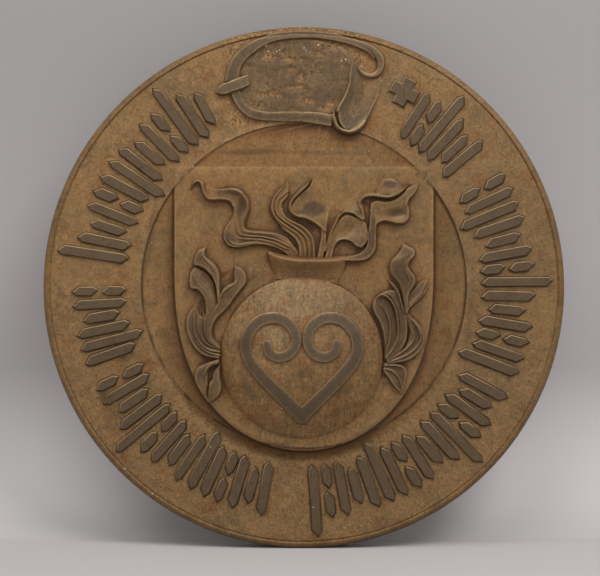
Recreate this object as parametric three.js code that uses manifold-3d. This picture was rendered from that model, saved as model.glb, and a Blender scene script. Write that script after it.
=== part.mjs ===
import * as THREE from 'three';
import { mergeVertices } from 'three/addons/utils/BufferGeometryUtils.js';
import Module from 'manifold-3d';

// Round wall plaque with a coat of arms in relief, cast in one piece. Sizes are in millimetres.
// The functions below work in the plaque's own face: x runs to the right, y up the face and z
// out of the wall. The finished mesh is stood up at the end, so that the face looks along -Y.

// Disc, rim and ring field
const DISC_RADIUS = 250;
const FIELD = 24;
const RIM_WIDTH = 5.5;
const RIM_SHOULDER = 19;
const RIM_CREST = 24.6;
const GROOVE_WIDTH = 1.6;
const GROOVE_DEPTH = 1.6;
const DISC_SIDES = 64;
const BALL_SIDES = 42;
const BALL_ROOT = 12;

// Round recess inside the ring, a dish that deepens towards the shield
const RECESS_RADIUS = 156;
const RECESS_Y = 2;
const RECESS_EDGE = 22.4;
const RECESS_DEEP = 15.5;
const RECESS_DEEP_RADIUS = 112;

// Shield: straight sides down to the shoulder line, then a full round foot. Its face leans out
// of the ring field towards the foot.
const SHIELD_HALF_WIDTH = 123.6;
const SHIELD_TOP = 115;
const SHIELD_SHOULDER = 20;
const SHIELD_FOOT = -155.4;
const SHIELD_ROUND = 2.5;
const SHIELD_TOP_FACE = 24.8;
const SHIELD_LEAN = 0.034;
const SHIELD_EDGE = 3;

// Ball with its flared cup
const BALL_X = -2;
const BALL_Y = -68;
const BALL_RADIUS = 78;
const BALL_RISE = 19;
const BALL_FULLNESS = 0.7;
const CUP_X = 3.4;
const CUP_Y = 18;
const CUP_HEIGHT = 19;
const CUP_MOUTH = 38;
const CUP_NECK = 30;
const CUP_RISE = 14;
const CUP_TIP = 15;

// Carved leaves of flame: steps for each listed point, how far the solid's edge stands outside the
// listed one, the width from which a dish is full depth, the depth of a flute, and the part of an
// outer slope that the flat facet spans
const LEAF_STEPS = 0.95;
const LEAF_MARGIN = 0.3;
const FOLD_STEPS = 1;
const FULL_WIDTH = 8;
const FLUTE_DEPTH = 2.4;
const SLOPE_SHARE = 0.7;

// Pair of volutes on the ball: they start at the foot, swing out and curl in round an eye
const VOLUTE_WIDTH = 13;
const VOLUTE_END_WIDTH = 8.5;
const VOLUTE_RISE = 2.2;
const VOLUTE_X = 24;
const VOLUTE_Y = -52;
const VOLUTE_RADIUS = 30;
const VOLUTE_EYE = 9;
const VOLUTE_START_ANGLE = -25;
const VOLUTE_SWEEP = 370;
const VOLUTE_FOOT_Y = -122;

// Cartouche over the shield: the curl at the end of its upper band, and the lip of its flap
const CURL_WIDTH = 5;
const CURL_START_WIDTH = 2;
const CURL_RISE = 4.2;
const LIP_WIDTH = 6;
const LIP_RISE = 9;
const LIP_START_RISE = 4;

// Marks of the inscription band, laid in word groups around the ring
const MARK_WIDTH = 9;
const MARK_RISE = 2.6;
const MARK_PITCH = 13.2;
const MARK_MIDDLE = 195;
const MARK_INNER = 173;
const MARK_OUTER = 218;
const MARK_ASCENDER = 235;
const MARK_DESCENDER = 163;
const MARK_GAP = 5;
const MARK_SHORTER = 8;
const MARK_SLANT = 0.35;

// Small cross that opens the inscription
const CROSS_X = 96;
const CROSS_Y = 187;
const CROSS_REACH = 13.5;
const CROSS_ARM = 6;
const CROSS_TURN = -27;

// Anything that stands on the face starts this far under it, so that it joins the casting
const SINK = 3;

const wasm = await Module();
wasm.setup();

const degrees = THREE.MathUtils.degToRad;
const { lerp, smoothstep: smooth } = THREE.MathUtils;

// Turns a closed three.js geometry into a solid that can be joined and cut.
function solid(geometry) {
  const plain = geometry.clone();
  plain.deleteAttribute('normal');
  plain.deleteAttribute('uv');
  const merged = mergeVertices(plain, 1e-4);
  return new wasm.Manifold(new wasm.Mesh({
    numProp: 3,
    vertProperties: new Float32Array(merged.attributes.position.array),
    triVerts: new Uint32Array(merged.index.array),
  }));
}

// Turns a solid back into a geometry with flat facets.
function geometryOf(body) {
  const mesh = body.getMesh();
  const geometry = new THREE.BufferGeometry();
  geometry.setAttribute('position', new THREE.BufferAttribute(mesh.vertProperties, 3));
  geometry.setIndex(new THREE.BufferAttribute(mesh.triVerts, 1));
  geometry.computeVertexNormals();
  return geometry;
}

// Revolves a profile of [radius, height] points around the axis out of the wall.
function turned(profile, sides) {
  const points = profile.map(([radius, height]) => new THREE.Vector2(radius, height));
  return new THREE.LatheGeometry(points, sides).rotateX(Math.PI / 2);
}

// Skins a row of closed rings with the same number of points, and caps both ends.
function skin(rings) {
  const around = rings[0].length;
  const position = rings.flat().flatMap((point) => [point.x, point.y, point.z]);
  const index = [];
  for (let ring = 0; ring < rings.length - 1; ring += 1) {
    for (let side = 0; side < around; side += 1) {
      const a = ring * around + side;
      const b = ring * around + ((side + 1) % around);
      index.push(a, b + around, b, a, a + around, b + around);
    }
  }
  const last = (rings.length - 1) * around;
  for (let side = 1; side < around - 1; side += 1) {
    index.push(0, side, side + 1);
    index.push(last, last + side + 1, last + side);
  }
  const geometry = new THREE.BufferGeometry();
  geometry.setAttribute('position', new THREE.Float32BufferAttribute(position, 3));
  geometry.setIndex(index);
  return geometry;
}

// Cross-sections of a ridge as [across, up] in halves of its width and parts of its rise
const ROUND_SECTION = [[0.55, 0.8], [0, 1], [-0.55, 0.8]];
const FLAT_SECTION = [[0.92, 1], [-0.92, 1]];

const smoothCurve = (path) => new THREE.CatmullRomCurve3(
  path.map(([x, y]) => new THREE.Vector3(x, y, 0)),
  false,
  'centripetal',
);

// A ridge that follows a smooth curve over the relief. `path` holds its [x, y] points, `width`
// and `rise` are functions of the way along it, and `ground` gives the surface it stands on.
function ridge({ path, width, rise, ground, section = ROUND_SECTION, steps = 10 }) {
  const curve = smoothCurve(path);
  const rings = [];
  for (let step = 0; step <= steps; step += 1) {
    const t = step / steps;
    const centre = curve.getPointAt(t);
    const along = curve.getTangentAt(t);
    const half = width(t) / 2;
    const place = (across, up) => {
      const x = centre.x - along.y * half * across;
      const y = centre.y + along.x * half * across;
      return new THREE.Vector3(x, y, ground(x, y) + up);
    };
    rings.push([
      place(-1, -SINK),
      ...section.map(([across, up]) => place(across, up * rise(t))).reverse(),
      place(1, -SINK),
    ]);
  }
  return skin(rings);
}

const shieldFace = (x, y) => SHIELD_TOP_FACE + (SHIELD_TOP - y) * SHIELD_LEAN;
const fieldFace = () => FIELD;

function ballFace(x, y) {
  const reach = Math.min(1, Math.hypot(x - BALL_X, y - BALL_Y) / BALL_RADIUS);
  return shieldFace(BALL_X, BALL_Y) + BALL_RISE * (1 - reach * reach) ** BALL_FULLNESS;
}

// Disc with a sloping rim and the fine groove inside it
function disc() {
  const crest = DISC_RADIUS - RIM_WIDTH;
  return solid(turned([
    [0, 0],
    [DISC_RADIUS, 0],
    [DISC_RADIUS, RIM_SHOULDER],
    [DISC_RADIUS - RIM_WIDTH * 0.3, RIM_SHOULDER + (RIM_CREST - RIM_SHOULDER) * 0.6],
    [crest, RIM_CREST],
    [crest - GROOVE_WIDTH / 2, FIELD - GROOVE_DEPTH],
    [crest - GROOVE_WIDTH, FIELD],
    [0, FIELD],
  ], DISC_SIDES));
}

// What is cut out of the disc for the dish around the shield
function recess() {
  const above = FIELD + 10;
  const steps = 2;
  const floor = [[0, RECESS_DEEP]];
  for (let step = 0; step <= steps; step += 1) {
    const t = step / steps;
    const radius = lerp(RECESS_DEEP_RADIUS, RECESS_RADIUS, t);
    floor.push([radius, RECESS_DEEP + (RECESS_EDGE - RECESS_DEEP) * t * t]);
  }
  floor.push([RECESS_RADIUS, above], [0, above]);
  return solid(turned(floor, DISC_SIDES).translate(0, RECESS_Y, 0));
}

// The strip between the ring and the shield's top edge, which stays nearly level with the ring
function strip() {
  const height = RECESS_Y + RECESS_RADIUS - SHIELD_TOP;
  const across = RECESS_RADIUS * 2;
  const block = new THREE.BoxGeometry(across, height * 2, RECESS_EDGE);
  block.translate(0, SHIELD_TOP + height, RECESS_EDGE / 2);
  const round = turned([[0, 0], [RECESS_RADIUS + 1, 0], [RECESS_RADIUS + 1, 40], [0, 40]], DISC_SIDES);
  return solid(block).intersect(solid(round.translate(0, RECESS_Y, 0)));
}

function shield() {
  const outline = new THREE.Shape();
  const steps = 11;
  const drop = SHIELD_SHOULDER - SHIELD_FOOT;
  const right = [];
  for (let step = 0; step <= steps; step += 1) {
    const way = Math.sin((step / steps) * Math.PI / 2) ** 0.8;
    const x = SHIELD_HALF_WIDTH * Math.sqrt(1 - way ** SHIELD_ROUND);
    right.push([x, SHIELD_SHOULDER - drop * way]);
  }
  outline.moveTo(-SHIELD_HALF_WIDTH, SHIELD_TOP);
  outline.lineTo(SHIELD_HALF_WIDTH, SHIELD_TOP);
  right.forEach(([x, y]) => outline.lineTo(x, y));
  right.slice(0, -1).reverse().forEach(([x, y]) => outline.lineTo(-x, y));
  const slab = new THREE.ExtrudeGeometry(outline, {
    depth: SHIELD_TOP_FACE - SHIELD_EDGE - 2,
    bevelThickness: SHIELD_EDGE,
    bevelSize: SHIELD_EDGE,
    bevelOffset: -SHIELD_EDGE,
    bevelSegments: 2,
  });
  slab.translate(0, 0, 2);
  const position = slab.attributes.position;
  for (let i = 0; i < position.count; i += 1) {
    if (position.getZ(i) > SHIELD_TOP_FACE / 2) {
      position.setZ(i, position.getZ(i) + (SHIELD_TOP - position.getY(i)) * SHIELD_LEAN);
    } else {
      position.setZ(i, 1);
    }
  }
  return solid(slab);
}

function ball() {
  const base = shieldFace(BALL_X, BALL_Y);
  const profile = [[0, base - BALL_ROOT], [BALL_RADIUS, base - BALL_ROOT]];
  const steps = 6;
  for (let step = 0; step <= steps; step += 1) {
    const reach = Math.cos((step / steps) * Math.PI / 2);
    profile.push([BALL_RADIUS * reach, base + BALL_RISE * (1 - reach * reach) ** BALL_FULLNESS]);
  }
  return solid(turned(profile, BALL_SIDES).translate(BALL_X, BALL_Y, 0));
}

function cup() {
  const body = new THREE.CylinderGeometry(CUP_MOUTH, CUP_NECK, CUP_HEIGHT, 32);
  body.scale(1, 1, CUP_RISE / CUP_MOUTH);
  body.rotateX(degrees(CUP_TIP));
  return solid(body.translate(CUP_X, CUP_Y, shieldFace(CUP_X, CUP_Y)));
}

// Two volutes that spring from one foot and curl inwards at the top
function volutes() {
  return [-1, 1].map((side) => {
    const path = [[BALL_X, VOLUTE_FOOT_Y]];
    const turns = 9;
    for (let turn = 0; turn <= turns; turn += 1) {
      const t = turn / turns;
      const angle = degrees(VOLUTE_START_ANGLE + VOLUTE_SWEEP * t);
      const radius = lerp(VOLUTE_RADIUS, VOLUTE_EYE, t);
      const x = BALL_X + side * (VOLUTE_X + radius * Math.cos(angle));
      path.push([x, VOLUTE_Y + radius * Math.sin(angle)]);
    }
    return solid(ridge({
      path,
      width: (t) => lerp(VOLUTE_WIDTH, VOLUTE_END_WIDTH, t),
      rise: () => VOLUTE_RISE,
      ground: ballFace,
      section: FLAT_SECTION,
      steps: 18,
    }));
  });
}

// Leaves of flame from the cup. Each is listed by its two edges, tip to root, with the rise of
// each edge, how far the surface dips between them (below 0 it swells), and how far each edge
// slopes down outside. Flutes are channels carved along a leaf.
const CUP_LEAVES = [
  { rise: [6.8, 5.8], dish: 2.2, slope: [4, 2.4], edges: [[
    [-94, 97], [-72, 93], [-64, 91], [-58, 88], [-54, 75], [-59, 59], [-57, 54], [-52, 52],
    [-28, 49], [-9, 38], [-4, 29],
  ], [
    [-97, 90], [-81, 84], [-72, 83], [-66, 73], [-68, 66], [-75, 54], [-72, 41], [-64, 38],
    [-44, 42], [-31, 40], [-11, 28],
  ]] },
  { rise: [6.8, 6.2], dish: 0.5, slope: [1.5, 1.8], flutes: 4, edges: [[
    [-16, 103], [-22, 92], [-29, 83], [-30, 73], [-24, 62], [-12, 52], [-5, 43], [-4, 28],
  ], [
    [-14, 97], [-16, 88], [-21, 80], [-20, 71], [-12, 63], [-1, 56], [8, 46], [10, 28],
  ]] },
  { rise: [7.4, 4], dish: 2.2, slope: [1.8, 2], edges: [[
    [9, 105], [5, 96], [-3, 88], [-9, 81], [-11, 75], [0, 67], [9, 63], [16, 57], [17, 49],
    [15, 40], [13, 27],
  ], [
    [13, 105], [21, 99], [28, 91], [30, 84], [26, 76], [24, 69], [23, 63], [21, 55], [21, 47],
    [20, 39], [18, 27],
  ]] },
  { rise: [5, 4], dish: 0.4, slope: [1.5, 3], edges: [[
    [33, 73], [38, 72], [43, 72], [48, 70], [53, 67], [57, 65],
  ], [
    [30, 84], [39, 88], [48, 88], [55, 81], [57, 73], [57, 65],
  ]] },
  { rise: [6.6, 6.6], dish: 2, slope: [1.8, 1.8], edges: [[
    [55, 38], [59, 43], [60, 53], [58, 61], [50, 66], [41, 68], [35, 65], [31, 58], [27, 49],
    [24, 40], [21, 28],
  ], [
    [55, 38], [50, 40], [46, 44], [38, 46], [33, 45], [29, 40], [27, 34], [26, 28],
  ]] },
  { rise: [6, 6.6], dish: 1.2, slope: [1.5, 4], edges: [[
    [108, 99], [100, 95], [95, 89], [90, 85], [83, 82], [77, 81], [70, 82], [65, 80], [63, 73],
  ], [
    [110, 100], [108, 93], [104, 88], [99, 78], [100, 72], [100, 66], [95, 62], [88, 61], [75, 64],
    [71, 63], [67, 58],
  ]] },
  { rise: [5.8, 6.6], dish: 0.6, slope: [1.5, 1.8], edges: [[
    [64, 76], [63, 67], [62, 59], [61, 50], [60, 43], [58, 36], [52, 32], [40, 29],
  ], [
    [70, 65], [68, 56], [68, 45], [68, 38], [65, 32], [60, 28], [52, 26], [38, 26],
  ]] },
  { rise: [3.4, 3.4], dish: -1, slope: [3, 2], edges: [[
    [74, 97], [79, 104], [86, 105], [92, 99], [97, 96],
  ], [
    [74, 97], [80, 98], [84, 94], [89, 92], [95, 94],
  ]] },
];

// Leaves of flame beside the ball: left, then right
const SIDE_LEAVES = [
  { rise: [7, 7], dish: -1.2, slope: [1.6, 1.8], edges: [[
    [-100, 32], [-104, 24], [-106, 16], [-107, 6], [-101, 0], [-96, -6], [-93, -14], [-94, -23],
    [-97, -33], [-94, -44], [-86, -58],
  ], [
    [-100, 32], [-102, 24], [-100, 17], [-93, 12], [-86, 3], [-83, -8], [-83, -21], [-87, -31],
    [-90, -43], [-83, -58],
  ]] },
  { rise: [8.2, 7.4], dish: -0.6, slope: [1.5, 2], edges: [[
    [-93, 39], [-100, 33], [-103, 24], [-97, 20], [-91, 16], [-86, 9], [-84, 0], [-82, -15],
  ], [
    [-93, 39], [-94, 33], [-90, 27], [-84, 20], [-81, 12], [-80, 2], [-80, -7], [-80, -18],
  ]] },
  { rise: [7.2, 6.6], dish: -1, slope: [1.5, 1.8], edges: [[
    [-66, 21], [-65, 11], [-67, 4], [-75, 1], [-79, -6], [-81, -16], [-85, -27], [-91, -37],
    [-92, -48], [-86, -58],
  ], [
    [-65, 20], [-60, 18], [-56, 10], [-57, 1], [-64, -8], [-73, -18], [-81, -28], [-87, -38],
    [-88, -48], [-82, -57],
  ]] },
  { rise: [6.6, 7.4], dish: 0.4, slope: [1.8, 1.6], flutes: 3, edges: [[
    [-104, -18], [-108, -25], [-109, -36], [-108, -48], [-100, -59], [-92, -64], [-83, -66],
  ], [
    [-102, -19], [-100, -23], [-96, -21], [-93, -29], [-92, -41], [-90, -51], [-83, -60],
  ]] },
  { rise: [6.6, 6.4], dish: -0.8, slope: [1.8, 1.4], edges: [[
    [-91, -110], [-97, -99], [-103, -88], [-103, -80], [-97, -73], [-83, -69],
  ], [
    [-91, -110], [-91, -100], [-90, -88], [-91, -81], [-88, -75], [-82, -71],
  ]] },
  { rise: [5.6, 6.4], dish: -0.8, slope: [1.4, 1.6], edges: [[
    [-88, -110], [-88, -100], [-86, -92], [-86, -84], [-86, -78], [-82, -72],
  ], [
    [-87, -110], [-83, -104], [-80, -95], [-81, -85], [-81, -78], [-81, -72],
  ]] },
  { rise: [6.4, 8], dish: -0.8, slope: [2.4, 1.6], edges: [[
    [94, 42], [92, 35], [87, 29], [83, 22], [84, 15], [89, 8], [92, 1], [94, -8], [95, -18],
  ], [
    [95, 42], [101, 38], [105, 33], [102, 26], [99, 20], [102, 12], [105, 5], [101, -1], [99, -10],
    [97, -19],
  ]] },
  { rise: [4.4, 7.4], dish: 1, slope: [2, 1.5], edges: [[
    [117, 8], [112, 4], [106, -3], [101, -10], [97, -17],
  ], [
    [118, 8], [117, 1], [113, -7], [108, -13], [101, -18],
  ]] },
  { rise: [6.4, 7], dish: -0.6, slope: [1.6, 1.6], edges: [[
    [74, -5], [80, -9], [86, -18], [89, -29], [91, -42], [89, -54], [82, -65], [79, -69],
  ], [
    [75, -5], [81, -3], [87, -4], [91, -10], [96, -23], [98, -36], [97, -49], [91, -60], [80, -70],
  ]] },
  { rise: [6, 8.2], dish: 2.6, slope: [1.6, 1.6], edges: [[
    [73, -5], [68, -10], [66, -17], [68, -25], [73, -33], [76, -43], [78, -53], [78, -67],
  ], [
    [74, -5], [78, -10], [82, -19], [86, -30], [89, -41], [87, -51], [83, -60], [79, -68],
  ]] },
  { rise: [6, 8], dish: 1.2, slope: [1.6, 1.8], edges: [[
    [96, -22], [99, -32], [101, -44], [98, -54], [92, -62], [80, -70],
  ], [
    [97, -22], [102, -26], [109, -36], [113, -45], [113, -54], [107, -62], [99, -68], [80, -72],
  ]] },
  { rise: [7.4, 6], dish: 2, slope: [1.5, 1.5], edges: [[
    [93, -101], [90, -97], [86, -92], [82, -86], [76, -78],
  ], [
    [93, -101], [96, -92], [97, -84], [93, -78], [87, -75], [77, -73],
  ]] },
];

// Sharp folds on the leaves, each a crest line with the width of its slope to either side
const FOLDS = [
  { rise: 7, slope: [4, 2], path: [
    [-108, 93], [-106, 99], [-102, 102], [-97, 94], [-94, 88], [-90, 85], [-74, 84], [-69, 82],
    [-67, 78],
  ] },
  { rise: 8.2, slope: [3.5, 1.8], path: [
    [-82, 94], [-72, 93], [-64, 92], [-54, 82], [-54, 75], [-57, 66], [-59, 59], [-57, 55],
    [-52, 52], [-28, 50], [-17, 46], [-11, 41],
  ] },
  { rise: 8.4, slope: [1.6, 3], path: [
    [9, 105], [4, 98], [-4, 91], [-13, 78], [-12, 72], [-7, 68], [9, 63], [15, 58], [20, 54],
  ] },
  { rise: 8.6, slope: [2, 5], path: [
    [101, 99], [97, 95], [92, 91], [87, 88], [80, 86], [65, 88], [58, 86], [54, 83], [53, 77],
  ] },
  { rise: 7.6, slope: [2, 3], path: [
    [70, -12], [75, -20], [80, -29], [82, -42], [79, -60],
  ] },
];

// Rise of a leaf or fold along its way: thin at the tip, full from a quarter on
const swell = (t) => 0.3 + 0.7 * smooth(t, 0, 0.25);

// A leaf is lofted between its two edges, tip to root, and stands on the shield's face or on
// another ground.
function leaf({ rise, dish, slope, edges, flutes = 0, ground = shieldFace }) {
  const [edgeA, edgeB] = edges.map(smoothCurve);
  const steps = Math.round(Math.max(edges[0].length, edges[1].length) * LEAF_STEPS);
  const inner = flutes > 0 ? flutes * 2 : 2;
  const across = edgeB.getPointAt(0.5).sub(edgeA.getPointAt(0.5));
  const leftward = edgeA.getTangentAt(0.5).cross(across).z > 0;
  const rings = [];
  for (let step = 0; step <= steps; step += 1) {
    const t = step / steps;
    const along = edgeA.getTangentAt(t).add(edgeB.getTangentAt(t));
    const out = new THREE.Vector3(-along.y, along.x, 0).setLength(leftward ? 1 : -1);
    const a = edgeA.getPointAt(t).addScaledVector(out, -LEAF_MARGIN);
    const b = edgeB.getPointAt(t).addScaledVector(out, LEAF_MARGIN);
    const gap = b.clone().sub(a);
    const wide = Math.min(1, gap.length() / FULL_WIDTH);
    const place = (point, up) => new THREE.Vector3(point.x, point.y, ground(point.x, point.y) + up);
    const ring = [place(a.clone().addScaledVector(out, -slope[0] * SLOPE_SHARE), -SINK)];
    for (let i = 0; i <= inner; i += 1) {
      const u = i / inner;
      const edge = lerp(rise[0], rise[1], u);
      const dip = 4 * u * (1 - u) * dish * wide + (i % 2 === 1 && flutes > 0 ? FLUTE_DEPTH * wide : 0);
      ring.push(place(a.clone().addScaledVector(gap, u), (edge - dip) * swell(t)));
    }
    ring.push(place(b.clone().addScaledVector(out, slope[1] * SLOPE_SHARE), -SINK));
    rings.push(ring);
  }
  return solid(skin(leftward ? rings : rings.map((ring) => ring.reverse())));
}

// A fold is a crest line whose two sides fall over their own widths.
function fold({ rise, slope, path }) {
  const curve = smoothCurve(path);
  const steps = Math.round(path.length * FOLD_STEPS);
  const rings = [];
  for (let step = 0; step <= steps; step += 1) {
    const t = step / steps;
    const centre = curve.getPointAt(t);
    const along = curve.getTangentAt(t);
    const left = new THREE.Vector3(-along.y, along.x, 0);
    const place = (across, up) => {
      const point = centre.clone().addScaledVector(left, across * swell(t));
      return point.setZ(shieldFace(point.x, point.y) + up);
    };
    rings.push([place(-slope[1] - 1, -SINK), place(0, rise * swell(t)), place(slope[0] + 1, -SINK)]);
  }
  return solid(skin(rings));
}

// Upper band, lower band, strap and flap of the cartouche, listed as the leaves are
const CARTOUCHE_BANDS = [
  { rise: [2.8, 3.6], dish: 0, slope: [1.6, 1], ground: fieldFace, edges: [[
    [-76, 197], [-74, 206], [-71, 214], [-66, 221], [-58, 229], [-50, 234], [-40, 239], [-28, 243],
    [-13, 244], [1, 244], [15, 243], [30, 241], [44, 238], [57, 234], [66, 230], [73, 224],
  ], [
    [-62, 199], [-62, 206], [-60, 212], [-54, 219], [-48, 224], [-39, 230], [-29, 235], [-15, 238],
    [0, 239], [14, 238], [28, 236], [41, 233], [53, 229], [61, 224], [67, 219],
  ]] },
  { rise: [4.2, 2.8], dish: 0, slope: [1.8, 1], ground: fieldFace, edges: [[
    [-62, 189], [-60, 182], [-56, 176], [-51, 171], [-44, 168], [-35, 167], [-23, 167], [-9, 167],
    [6, 166], [17, 165], [27, 164],
  ], [
    [-70, 187], [-67, 180], [-64, 173], [-58, 167], [-51, 162], [-42, 160], [-31, 159], [-15, 159],
    [-2, 158], [12, 157], [26, 154],
  ]] },
  { rise: [4.8, 5.8], dish: 0, slope: [2, 1], ground: fieldFace, edges: [[
    [-84, 188], [-82, 191], [-77, 193], [-72, 196], [-66, 198], [-60, 200], [-54, 202], [-52, 202],
  ], [
    [-83, 186], [-79, 185], [-74, 185], [-68, 187], [-62, 189], [-57, 191], [-53, 193], [-51, 197],
  ]] },
  { rise: [5.4, 3.6], dish: 2.2, slope: [1.2, 4], ground: fieldFace, edges: [[
    [49, 220], [46, 211], [45, 201], [44, 193], [42, 185], [38, 178], [35, 172], [33, 167],
    [34, 161], [35, 155], [39, 151],
  ], [
    [77, 214], [76, 205], [75, 197], [72, 188], [69, 179], [65, 171], [61, 164], [57, 157],
    [54, 153], [48, 150],
  ]] },
];
const CURL = [
  [50, 218], [51, 212], [53, 207], [58, 203], [65, 202], [71, 205], [74, 211], [73, 219],
  [68, 225], [59, 230], [51, 233],
];
const FLAP_LIP = [
  [29, 169], [28, 164], [30, 158], [33, 153], [38, 149], [44, 148], [50, 150], [55, 154],
  [58, 158],
];

function cartouche() {
  const arched = (t) => Math.sin(Math.PI * t);
  const curl = ridge({
    path: CURL,
    width: (t) => lerp(CURL_START_WIDTH, CURL_WIDTH, smooth(t, 0, 0.5)),
    rise: () => CURL_RISE,
    ground: fieldFace,
    steps: 12,
  });
  const lip = ridge({
    path: FLAP_LIP,
    width: () => LIP_WIDTH,
    rise: (t) => lerp(LIP_START_RISE, LIP_RISE, arched(t)),
    ground: fieldFace,
    steps: 9,
  });
  return [...CARTOUCHE_BANDS.map(leaf), solid(curl), solid(lip)];
}

// One flat-topped mark: a bar between two radii, cut to slanting points at both ends
function mark(angle, inner, outer) {
  const half = MARK_WIDTH / 2;
  const cut = MARK_WIDTH * MARK_SLANT;
  const corners = [
    [-half, inner + cut],
    [half * 0.3, inner - cut],
    [half, inner + cut * 0.4],
    [half, outer - cut],
    [-half * 0.3, outer + cut],
    [-half, outer - cut * 0.4],
  ];
  const outline = new THREE.Shape(corners.map(([x, y]) => new THREE.Vector2(x, y)));
  const bar = new THREE.ExtrudeGeometry(outline, { depth: MARK_RISE + SINK, bevelEnabled: false });
  return bar.translate(0, 0, FIELD - SINK).rotateZ(degrees(angle - 90));
}

// Kinds of marks as rows of [inner radius, outer radius]
const MARK_KINDS = {
  bar: [[MARK_INNER, MARK_OUTER]],
  tall: [[MARK_INNER, MARK_ASCENDER]],
  deep: [[MARK_DESCENDER, MARK_OUTER]],
  broken: [
    [MARK_INNER, MARK_MIDDLE - MARK_GAP],
    [MARK_MIDDLE + MARK_GAP, MARK_OUTER],
  ],
  short: [[MARK_INNER + MARK_SHORTER, MARK_OUTER - MARK_SHORTER]],
};

// Word groups as [first angle, last angle], counter-clockwise from the right, read clockwise
const WORD_GROUPS = [[57, 39], [29, -22], [-29, -87], [-101, -154], [-161, -179], [171, 119]];
const MARK_ORDER = [
  'bar', 'broken', 'tall', 'bar', 'short', 'bar', 'broken', 'bar', 'deep', 'bar', 'short',
];

function inscription() {
  const marks = [];
  const pitch = THREE.MathUtils.radToDeg(MARK_PITCH / MARK_MIDDLE);
  let count = 0;
  WORD_GROUPS.forEach(([first, last]) => {
    const steps = Math.round((first - last) / pitch);
    for (let step = 0; step <= steps; step += 1) {
      const angle = lerp(first, last, step / steps);
      const kind = MARK_ORDER[count % MARK_ORDER.length];
      MARK_KINDS[kind].forEach(([inner, outer]) => {
        marks.push(solid(mark(angle, inner, outer)));
      });
      count += 1;
    }
  });
  return marks;
}

// The cross has four square arms with two corners at each arm's end and one between the arms.
function cross() {
  const outline = new THREE.Shape();
  const quarter = [[CROSS_ARM, CROSS_ARM], [CROSS_ARM, CROSS_REACH], [-CROSS_ARM, CROSS_REACH]];
  [0, 1, 2, 3].forEach((turn) => {
    quarter.forEach(([x, y], corner) => {
      const point = new THREE.Vector2(x, y).rotateAround(new THREE.Vector2(), turn * Math.PI / 2);
      if (turn === 0 && corner === 0) {
        outline.moveTo(point.x, point.y);
      } else {
        outline.lineTo(point.x, point.y);
      }
    });
  });
  const plate = new THREE.ExtrudeGeometry(outline, { depth: MARK_RISE + SINK, bevelEnabled: false });
  plate.rotateZ(degrees(CROSS_TURN));
  return solid(plate.translate(CROSS_X, CROSS_Y, FIELD - SINK));
}

function plaque() {
  const parts = [
    shield(),
    ball(),
    cup(),
    ...volutes(),
    ...CUP_LEAVES.map(leaf),
    ...SIDE_LEAVES.map(leaf),
    ...FOLDS.map(fold),
    ...cartouche(),
    ...inscription(),
    cross(),
  ];
  const ground = disc().subtract(recess()).add(strip());
  return parts.reduce((whole, part) => whole.add(part), ground);
}

const model = new THREE.Group();
const castPaint = new THREE.MeshStandardMaterial({ color: 0x7d6443, roughness: 0.62, metalness: 0 });
const mesh = new THREE.Mesh(geometryOf(plaque()), castPaint);
mesh.name = 'plaque';
mesh.rotation.x = Math.PI / 2;
model.add(mesh);

export default model;
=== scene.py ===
import math

import bmesh
import bpy
import numpy as np
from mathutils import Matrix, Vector


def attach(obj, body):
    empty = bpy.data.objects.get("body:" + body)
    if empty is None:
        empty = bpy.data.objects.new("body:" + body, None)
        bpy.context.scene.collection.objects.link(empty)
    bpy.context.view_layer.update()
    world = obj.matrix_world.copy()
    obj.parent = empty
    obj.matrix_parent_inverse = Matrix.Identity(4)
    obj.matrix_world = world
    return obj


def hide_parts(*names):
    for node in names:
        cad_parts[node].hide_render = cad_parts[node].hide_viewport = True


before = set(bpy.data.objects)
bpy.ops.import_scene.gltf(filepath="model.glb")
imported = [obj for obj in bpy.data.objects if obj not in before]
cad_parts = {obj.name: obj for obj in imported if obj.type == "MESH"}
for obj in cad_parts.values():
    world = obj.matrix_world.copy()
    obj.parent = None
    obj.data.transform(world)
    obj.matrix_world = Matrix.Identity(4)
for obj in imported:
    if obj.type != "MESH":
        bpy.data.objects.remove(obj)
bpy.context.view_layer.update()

# Round wall plaque with a coat of arms in relief, cast in plaster in one piece and painted to look
# like old bronze. The relief's sizes are in millimetres on the plaque's face: x to the right, y up
# the face, height out of the wall. MM turns them into the scene's metres.
MM = 0.001

# Disc, rim and ring field
DISC_RADIUS = 250.0
FIELD = 24.0
RIM_WIDTH = 5.5
RIM_SHOULDER = 19.0
RIM_CREST = 24.6
RIM_LIP = 2.0
RIM_LIP_DROP = 1.2
RIM_BEND = 0.3
RIM_BEND_LEVEL = 0.6
GROOVE_WIDTH = 2.4
GROOVE_DEPTH = 1.4
BACK_CHAMFER = 1.2

# Unevenness left by hand finishing, as slow waves over the ring field and the shield's face
FINISH_DEPTH = 0.5
FINISH_WAVES = 7
FINISH_LENGTH = (26.0, 90.0)
FINISH_PHASE = 7.0
FINISH_EDGE = (8.0, 14.0)
RING_FINISH_SEED = 3
SHIELD_FINISH_SEED = 4

# Round recess inside the ring, a dish that deepens towards the shield
RECESS_RADIUS = 156.0
RECESS_Y = 2.0
RECESS_EDGE = 22.4
RECESS_DEEP = 15.5
RECESS_DEEP_RADIUS = 112.0
RECESS_STEP = 0.9

# Cove cut into the ring field where the shield's foot reaches over it
COVE_Y = -18.0
COVE_RADIUS = 153.0
COVE_DEPTH = 7.0
COVE_WIDTH = 16.0
COVE_FADE = 30.0

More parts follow.
